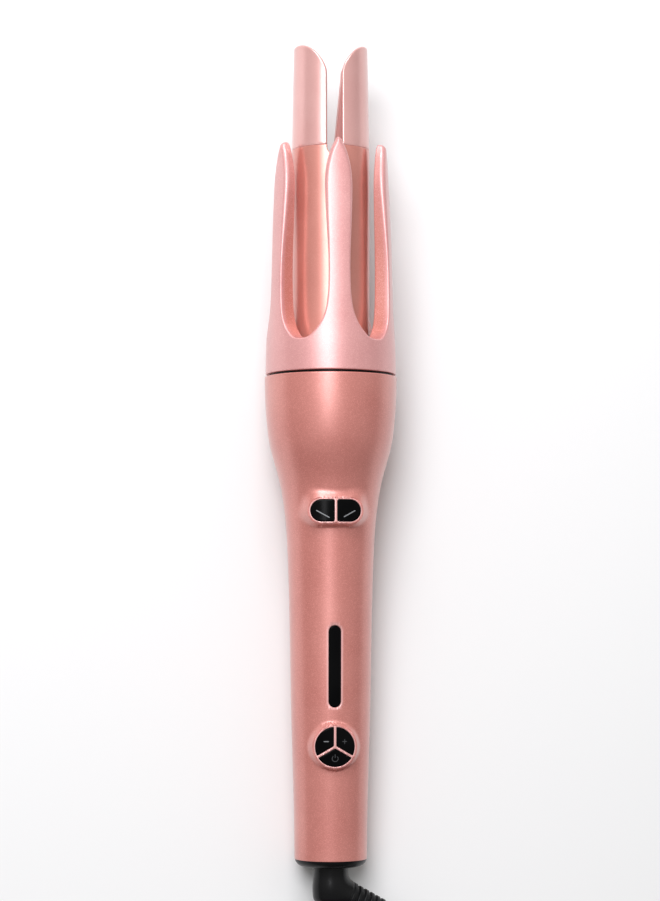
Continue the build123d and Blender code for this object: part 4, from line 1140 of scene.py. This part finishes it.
s_up = np.concatenate([[292.02, 292.12, 292.25, 292.4], np.arange(293, 321.6, 0.9)])
x_front = np.linspace(SLOT, 15.1, 34)
front_side = [(math.degrees(math.acos(SLOT / tip_radius(t))), t) for t in s_up if t < prong_top(SLOT) - 0.5]
crest = []
for x in x_front:
    t = float(prong_top(x))
    crest.append((math.degrees(math.acos(min(1, x / float(tip_radius(t))))), t))
x_end = rear_gap(prong_top(5.8))
for x in np.linspace(15.1, 5.9, 26)[1:]:
    t = float(prong_top(x))
    crest.append((-math.degrees(math.acos(min(1, x / float(tip_radius(t))))), t))
rear_side = [(-math.degrees(math.acos(float(rear_gap(t)) / float(tip_radius(t)))), t)
             for t in s_up[::-1] if t < float(prong_top(5.8)) - 0.4]
rear_side = [(-math.degrees(math.acos(float(rear_gap(t)) / float(tip_radius(t)))), t)
             for t in np.arange(327.6, 321.5, -0.9)] + rear_side
PD = 15.5 * math.pi / 180
fork_edge = np.array(front_side + crest + rear_side) * (PD, 1)
fork_edge = soften(fork_edge, 0.0, 0.45)
# the path from the front foot over the crest to the rear foot, softened where it turns
start_pt, end_pt = np.array(front_side[0]) * (PD, 1), np.array(rear_side[-1]) * (PD, 1)
path = np.array(front_side + crest + rear_side) * (PD, 1)
path = resample(path, 0.42)
for _ in range(4):
    path[1:-1] = 0.25 * path[:-2] + 0.5 * path[1:-1] + 0.25 * path[2:]
foot = np.column_stack([np.linspace(end_pt[0], start_pt[0], 61), np.full(61, 292.02)])
outline = np.vstack([path[::-1], foot[1:-1]])[::-1]
free = []
FORK_ROUND = 0.75
for d in (0.02, 0.08, 0.18, 0.32, 0.5, 0.75, 1.1):
    q = shifted(path, d, closed=False)
    free.append(q)
    free.append(shifted(path, -d, closed=False))
gx, gs = np.meshgrid(np.arange(-24.3, 24.4, 0.9), np.concatenate([[292.06, 292.14, 292.24, 292.5], np.arange(293.2, 335, 1.1)]))
grid = np.column_stack([gx.ravel(), gs.ravel()])
grid = grid[away(grid, path, closed=False) > 1.35]
free.append(grid)
free = np.vstack(free)
free = free[inside(free, outline)]
free = free[free[:, 1] > 292.03]
v, f, rims = triangles(outline, [], free, clear=0.012)
d_edge = away(v, path, closed=False)
s, a0 = v[:, 1], v[:, 0] / PD
rt = tip_radius(s)
r_out = rt - edge_drop(d_edge, FORK_ROUND) - edge_drop(s - 292.02, 0.22)
wall_in = rt - 2.0
r_in = wall_in + edge_drop(d_edge, 0.6) * smoothstep(293, 296, s)
front_limit_out, front_limit_in = np.degrees(np.arccos(SLOT / rt)), np.degrees(np.arccos(SLOT / wall_in))
rear_limit_out = np.degrees(np.arccos(rear_gap(s) / rt))
rear_limit_in = np.degrees(np.arccos(rear_gap(s) / wall_in))
a_in = np.where(a0 > 0, a0 * front_limit_in / front_limit_out, a0 * rear_limit_in / rear_limit_out)
m = Mesh()
for mirror in (1, -1):
    ao, ai = np.radians(a0), np.radians(a_in)
    up_ = m.add(np.column_stack([mirror * r_out * np.cos(ao), -r_out * np.sin(ao), s]), f if mirror > 0 else f[:, ::-1])
    dn = m.add(np.column_stack([mirror * r_in * np.cos(ai), -r_in * np.sin(ai), s]), f[:, ::-1] if mirror > 0 else f)
    m.ring_band([up_ + i for i in rims[0]], [dn + i for i in rims[0]])
# spigot that the barrel holds
sp = Mesh()
for mirror in (1, -1):
    a = np.radians(np.linspace(-76, 76, 61))
    ring = []
    for rad, st in ((14.70, 291.98), (14.70, 285.2), (14.5, 284.9), (13.2, 284.9), (13.0, 285.2), (13.0, 291.98)):
        ring.append(list(range(m.add(np.column_stack([mirror * rad * np.cos(a), -rad * np.sin(a), np.full(61, st)]), []), m.n)))
    for p, q in zip(ring, ring[1:] + ring[:1]):
        m.ring_band(p, q, closed=False)
    m.f.append(tuple(r[0] for r in ring))
    m.f.append(tuple(r[-1] for r in ring)[::-1])
build("forked_tip", m, FORK, "body", ("fork_tip",), sharp=50, weld=2e-6)

# ----------------------------------------------------------------------
# End cap, swivel neck and ribbed relief
# ----------------------------------------------------------------------
m = Mesh()
cap = [(7.35, 0.9), (7.35, -2.9), (7.5, -3.12), (8.4, -3.2)]
cap += [tuple(p) for p in spline([(8.6, -3.2), (11.2, -3.05), (12.9, -2.55), (14.0, -1.65), (14.6, -0.55), (14.72, -0.05)], 5)[1:]]
cap += [(14.66, 0.04), (12.6, 0.06), (12.6, 3.2), (9.9, 3.2), (9.9, 0.9)]
m.lathe(cap, closed=True, turn=128)
build("handle_end_cap", m, SATIN, "body", ("end_cap",), sharp=45)


def surface_net(field, low, high, step):
    """A smooth closed mesh of field = 0 (negative inside), on a grid, in the tool's millimetres."""
    low, high = np.asarray(low, float), np.asarray(high, float)
    n = np.ceil((high - low) / step).astype(int) + 1
    ax = [low[k] + step * np.arange(n[k]) for k in range(3)]
    gx, gy, gz = np.meshgrid(*ax, indexing="ij")
    g = field(gx, gy, gz)
    corner = [(i, j, k) for i in (0, 1) for j in (0, 1) for k in (0, 1)]
    shape = tuple(n - 1)
    total = np.zeros(shape + (3,))
    count = np.zeros(shape)

    def block(c):
        return g[c[0]:c[0] + shape[0], c[1]:c[1] + shape[1], c[2]:c[2] + shape[2]]
    for i, a in enumerate(corner):
        for b in corner[i + 1:]:
            if sum(abs(p - q) for p, q in zip(a, b)) != 1:
                continue
            ga, gb = block(a), block(b)
            cross = (ga < 0) != (gb < 0)
            t = np.where(cross, ga / np.where(cross, ga - gb, 1), 0)
            for k in range(3):
                total[..., k] += np.where(cross, a[k] + (b[k] - a[k]) * t, 0)
            count += cross
    has = count > 0
    number = -np.ones(shape, int)
    number[has] = np.arange(has.sum())
    cell = np.argwhere(has)
    pts = low + step * (cell + total[has] / count[has][:, None])
    faces = []
    inner = g < 0
    for axis in range(3):
        o = [k for k in range(3) if k != axis]
        i0 = [slice(0, n[k] - 1) if k == axis else slice(1, n[k] - 1) for k in range(3)]
        i1 = [slice(1, n[k]) if k == axis else slice(1, n[k] - 1) for k in range(3)]
        change = inner[tuple(i0)] != inner[tuple(i1)]
        for c in np.argwhere(change):
            c = c + [0 if k == axis else 1 for k in range(3)]
            quad = []
            for du, dv in ((0, 0), (-1, 0), (-1, -1), (0, -1)):
                q = list(c)
                q[o[0]] += du
                q[o[1]] += dv
                quad.append(number[tuple(q)])
            if min(quad) >= 0:
                faces.append(quad)
    return pts, faces


def rounded_cone(px, py, pz, a, b, ra, rb):
    """Signed distance, roughly, to a round bar from a to b whose radius changes from ra to rb."""
    a, b = np.asarray(a, float), np.asarray(b, float)
    d = b - a
    length = np.linalg.norm(d)
    u = d / length
    t = ((px - a[0]) * u[0] + (py - a[1]) * u[1] + (pz - a[2]) * u[2])
    tc = np.clip(t, 0, length)
    q = np.sqrt((px - a[0] - u[0] * tc) ** 2 + (py - a[1] - u[1] * tc) ** 2 + (pz - a[2] - u[2] * tc) ** 2)
    return q - (ra + (rb - ra) * tc / length), t


def neck_field(x, y, z):
    r = np.hypot(x, y)
    # upright barrel of the neck, with a rounded foot
    post = np.maximum(r - (7.15 - 0.02 * (-4 - z)), -(z + 17.2))
    dx, dz = np.maximum(r - 4.4, 0), np.maximum(-(z + 15.6), 0)
    post = np.hypot(dx, dz) - 2.75 + 0.0 * z
    arm, t = rounded_cone(x, y, z, CORNER, np.array(CORNER) + LEAD * 9.0, 6.6, 6.45)
    k = 2.6
    h = np.clip(0.5 + 0.5 * (arm - post) / k, 0, 1)
    both = arm * (1 - h) + post * h - k * h * (1 - h)
    plane = (x - CORNER[0]) * LEAD[0] + (y - CORNER[1]) * LEAD[1] + (z - CORNER[2]) * LEAD[2] - 7.6
    both = np.maximum(both, plane)
    return np.maximum(both, z + 1.2)


pts, faces = surface_net(neck_field, (-9.5, -9.5, -22.5), (12.5, 9.5, 0.5), 0.42)
m = Mesh()
m.add(pts, faces)
# the part of the swivel that is held inside the handle
m.lathe([(0, -1.4), (7.15, -1.4), (7.15, 1.1), (9.55, 1.1), (9.55, 2.9), (4.0, 2.9), (4.0, 15.5), (3.2, 16.3), (0, 16.3)], turn=72)
build("swivel_neck", m, NECK, "swivel", ("swivel_stub",), sharp=40)

# ribbed relief: a core with separate rounded ribs, tapering to the cord
up_v = np.array((0, 0, 1.0)) - LEAD * LEAD[2]
up_v /= np.linalg.norm(up_v)
side_v = np.cross(LEAD, up_v)
RELIEF_0, RELIEF_1 = 7.0, 38.0
outline = []
for i in range(0, 311):
    a = i / 10.0
    taper = 6.4 + (4.3 - 6.4) * a / 31.0
    ph = ((a - 1.2) / 2.7) % 1.0
    if a < 1.2 or a > 29.4:
        r = taper
    else:
        # a rounded rib and a narrow square groove
        r = taper if ph < 0.60 else taper - 0.95
        edge_in = min(abs(ph - 0.0), abs(ph - 0.60), abs(ph - 1.0)) * 2.7
        if ph < 0.60:
            r -= edge_drop(np.array(edge_in), 0.35)
    outline.append((float(r), RELIEF_0 + a))
outline = [(0.0, RELIEF_0 - 0.6), (5.9, RELIEF_0 - 0.6)] + outline
outline += [(4.1, RELIEF_1 + 0.25), (3.5, RELIEF_1 + 0.45), (3.1, RELIEF_1 + 0.4), (0.0, RELIEF_1 + 0.3)]
m = Mesh()
around = 72
rows = []
for r, along in outline:
    a = np.arange(around) / around * 2 * math.pi
    centre = np.array(CORNER) + LEAD * along
    rows.append(list(range(m.add(centre + r * (np.cos(a)[:, None] * up_v + np.sin(a)[:, None] * side_v), []), m.n)))
for p, q in zip(rows, rows[1:]):
    m.ring_band(p, q)
relief = build("cord_relief", m, RUBBER, "swivel", ("strain_relief",), sharp=38)

# ----------------------------------------------------------------------
# Tie and plug, on the coil
# ----------------------------------------------------------------------
# strap round the coil's three layers, snug to its bundle
cx, cy = COIL[0] - 35.0, COIL[1]
rows = []
m = Mesh()
ring_pts = soften([(-13.1, 0.35), (13.1, 0.35), (13.1, 20.25), (-13.1, 20.25)], 3.6, 0.8)
for yo, inset in ((-4.9, 0.12), (-4.75, 0.0), (-2.5, 0.0), (0, 0.0), (2.5, 0.0), (4.75, 0.0), (4.9, 0.12)):
    q = shifted(ring_pts, -inset)
    rows.append(list(range(m.add(np.column_stack([cx + q[:, 0], np.full(len(q), cy + yo + SHIFT), q[:, 1]]), []), m.n)))
for yo, inset in ((4.9, 0.55), (0, 0.62), (-4.9, 0.55)):
    q = shifted(ring_pts, -inset)
    rows.append(list(range(m.add(np.column_stack([cx + q[:, 0], np.full(len(q), cy + yo + SHIFT), q[:, 1]]), []), m.n)))
for p, q in zip(rows, rows[1:] + rows[:1]):
    m.ring_band(p, q)
# overlapped end of the strap, on its outer side
tab = soften([(-0.0, 0.0), (9.0, 0.0), (9.0, 8.6), (0.0, 8.6)], [0.2, 2.4, 2.4, 0.2], 0.6)
t0 = m.add(np.column_stack([cx - 7.0 + tab[:, 0], cy + SHIFT - 4.3 + tab[:, 1], np.full(len(tab), 20.2)]), [])
t1 = m.add(np.column_stack([cx - 7.0 + tab[:, 0], cy + SHIFT - 4.3 + tab[:, 1], np.full(len(tab), 20.75)]), [])
m.ring_band([t0 + i for i in range(len(tab))], [t1 + i for i in range(len(tab))])
m.f.append(tuple(t1 + i for i in range(len(tab))))
m.f.append(tuple(t0 + i for i in range(len(tab)))[::-1])
tie = build("cable_tie", m, STRAP, "body", ("cord_tie",), sharp=45, table=True)

PX, PY, PZ = COIL[0] - 7.0, COIL[1] - 33.0 + SHIFT, 27.8


def plug_field(x, y, z):
    u, v, w = x - PX, y - PY, z - PZ
    # body: rounded block that narrows to the cord end, with finger hollows on its sides
    grow = np.clip((u + 23) / 23, 0, 1)
    hy, hz = 9.5 - 1.2 * grow ** 2, 7.5 - 0.8 * grow ** 2
    hollow = 1.1 * np.exp(-((u + 9.5) / 6.0) ** 2)
    hy = hy - hollow
    qy, qz, qu = np.abs(v) - (hy - 3.6), np.abs(w) - (hz - 3.6), np.abs(u + 11.5) - (11.5 - 1.6)
    side_d = np.hypot(np.maximum(qy, 0), np.maximum(qz, 0)) + np.minimum(np.maximum(qy, qz), 0) - 3.6
    a, b = side_d + 1.6, qu
    body = np.hypot(np.maximum(a, 0), np.maximum(b, 0)) + np.minimum(np.maximum(a, b), 0) - 1.6
    r = np.hypot(v, w)
    t = np.clip(u / 16.0, 0, 1)
    neck_r = 5.3 - 1.2 * t
    ribs = np.where((u > 3) & (u < 15), 0.32 * np.cos((u - 3) * 2 * math.pi / 3.0), 0)
    neck = np.maximum(r - neck_r - ribs, np.maximum(u - 16.0, -u - 3))
    k = 2.2
    h = np.clip(0.5 + 0.5 * (neck - body) / k, 0, 1)
    both = neck * (1 - h) + body * h - k * h * (1 - h) * np.clip(1 - u / 6, 0, 1)
    # fine grip ribs on the flanks
    both = both + np.where((np.abs(u + 9.5) < 6.2) & (np.abs(v) > 5.5), 0.16 * (1 + np.cos((u + 9.5) * 2 * math.pi / 1.55)), 0)
    return both


pts, faces = surface_net(plug_field, (PX - 24.6, PY - 11, PZ - 9), (PX + 17.2, PY + 11, PZ + 9), 0.36)
m = Mesh()
m.add(pts, faces)
plug = build("mains_plug", m, SATIN, "body", ("plug_body",), sharp=60, table=True)
m = Mesh()
for sgn in (-1, 1):
    # a blade with rounded end and a hole near its tip
    prof = soften([(0.6, -3.175), (-16.0, -3.175), (-16.0, 3.175), (0.6, 3.175)], [0, 1.3, 1.3, 0], 0.5)
    hole = np.array([(-12.0 + 1.25 * math.cos(t), 1.25 * math.sin(t)) for t in np.linspace(0, 2 * math.pi, 25)[:-1]])
    v, f, rims = triangles(prof[::-1] if False else prof, [hole], np.array([(-5.0, 0.0), (-8, 1.5), (-8, -1.5)]))
    for yo in (-0.75, 0.75):
        st = m.add(np.column_stack([PX - 23.0 + v[:, 0], np.full(len(v), PY + sgn * 6.35 + yo), PZ + v[:, 1]]),
                   f if yo < 0 else f[:, ::-1])
        if yo < 0:
            first = st
    for rim in rims:
        m.ring_band([first + i for i in rim], [st + i for i in rim])
blades = build("plug_pins", m, BRASS, "body", ("plug_blades",), sharp=35, table=True)

# ----------------------------------------------------------------------
# Floor and light
# ----------------------------------------------------------------------
floor_mesh = bpy.data.meshes.new("floor")
floor_mesh.from_pydata([(-20, -20, 0), (20, -20, 0), (20, 20, 0), (-20, 20, 0)], [], [(0, 1, 2, 3)])
floor = bpy.data.objects.new("floor", floor_mesh)
COLLECTION.objects.link(floor)
paper = Nodes("paper")
paper.set(Base_Color=(0.86, 0.86, 0.85, 1), Roughness=0.9, Specular_IOR_Level=0.1)
floor_mesh.materials.append(paper.m)
floor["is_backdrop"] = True

world = bpy.data.worlds.new("studio")
world.use_nodes = True
bpy.context.scene.world = world
background = world.node_tree.nodes["Background"]
background.inputs["Color"].default_value = (1.0, 0.995, 0.985, 1)
# the room is dim near the horizon and over the handle's end, and bright overhead and over the tip
room = world.node_tree


def fade(source, low, high, out_low, out_high):
    n = room.nodes.new("ShaderNodeMapRange")
    n.interpolation_type = "SMOOTHSTEP"
    n.inputs["From Min"].default_value, n.inputs["From Max"].default_value = low, high
    n.inputs["To Min"].default_value, n.inputs["To Max"].default_value = out_low, out_high
    room.links.new(source, n.inputs["Value"])
    return n.outputs["Result"]


sky = room.nodes.new("ShaderNodeTexCoord")
split_sky = room.nodes.new("ShaderNodeSeparateXYZ")
room.links.new(sky.outputs["Generated"], split_sky.inputs["Vector"])
both = room.nodes.new("ShaderNodeMath")
both.operation = "MULTIPLY"
room.links.new(fade(split_sky.outputs["Y"], -0.75, 0.3, 0.22, 1.06), both.inputs[0])
room.links.new(fade(split_sky.outputs["Z"], 0.05, 0.75, 0.30, 0.56), both.inputs[1])
room.links.new(both.outputs["Value"], background.inputs["Strength"])


def soft_light(name, position, target, size, watts, colour=(1, 1, 1)):
    data = bpy.data.lights.new(name, "AREA")
    data.shape = "RECTANGLE"
    data.size, data.size_y = size
    data.energy = watts
    data.color = colour
    obj = bpy.data.objects.new(name, data)
    obj.location = position
    obj.rotation_mode = "QUATERNION"
    obj.rotation_quaternion = (Vector(target) - Vector(position)).to_track_quat("-Z", "Y")
    COLLECTION.objects.link(obj)
    return obj


soft_light("overhead", (-0.26, 0.30, 1.05), (0, 0.02, 0.02), (0.46, 0.7), 7.9, (1, 1, 1.04))
soft_light("tip_side", (-0.16, 1.1, 0.80), (0, 0.06, 0.02), (0.5, 0.4), 8.4, (1, 1, 1.04))

scene = bpy.context.scene
scene.view_settings.view_transform = "Standard"
scene.view_settings.look = "None"
scene.view_settings.exposure = 0.0

low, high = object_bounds()
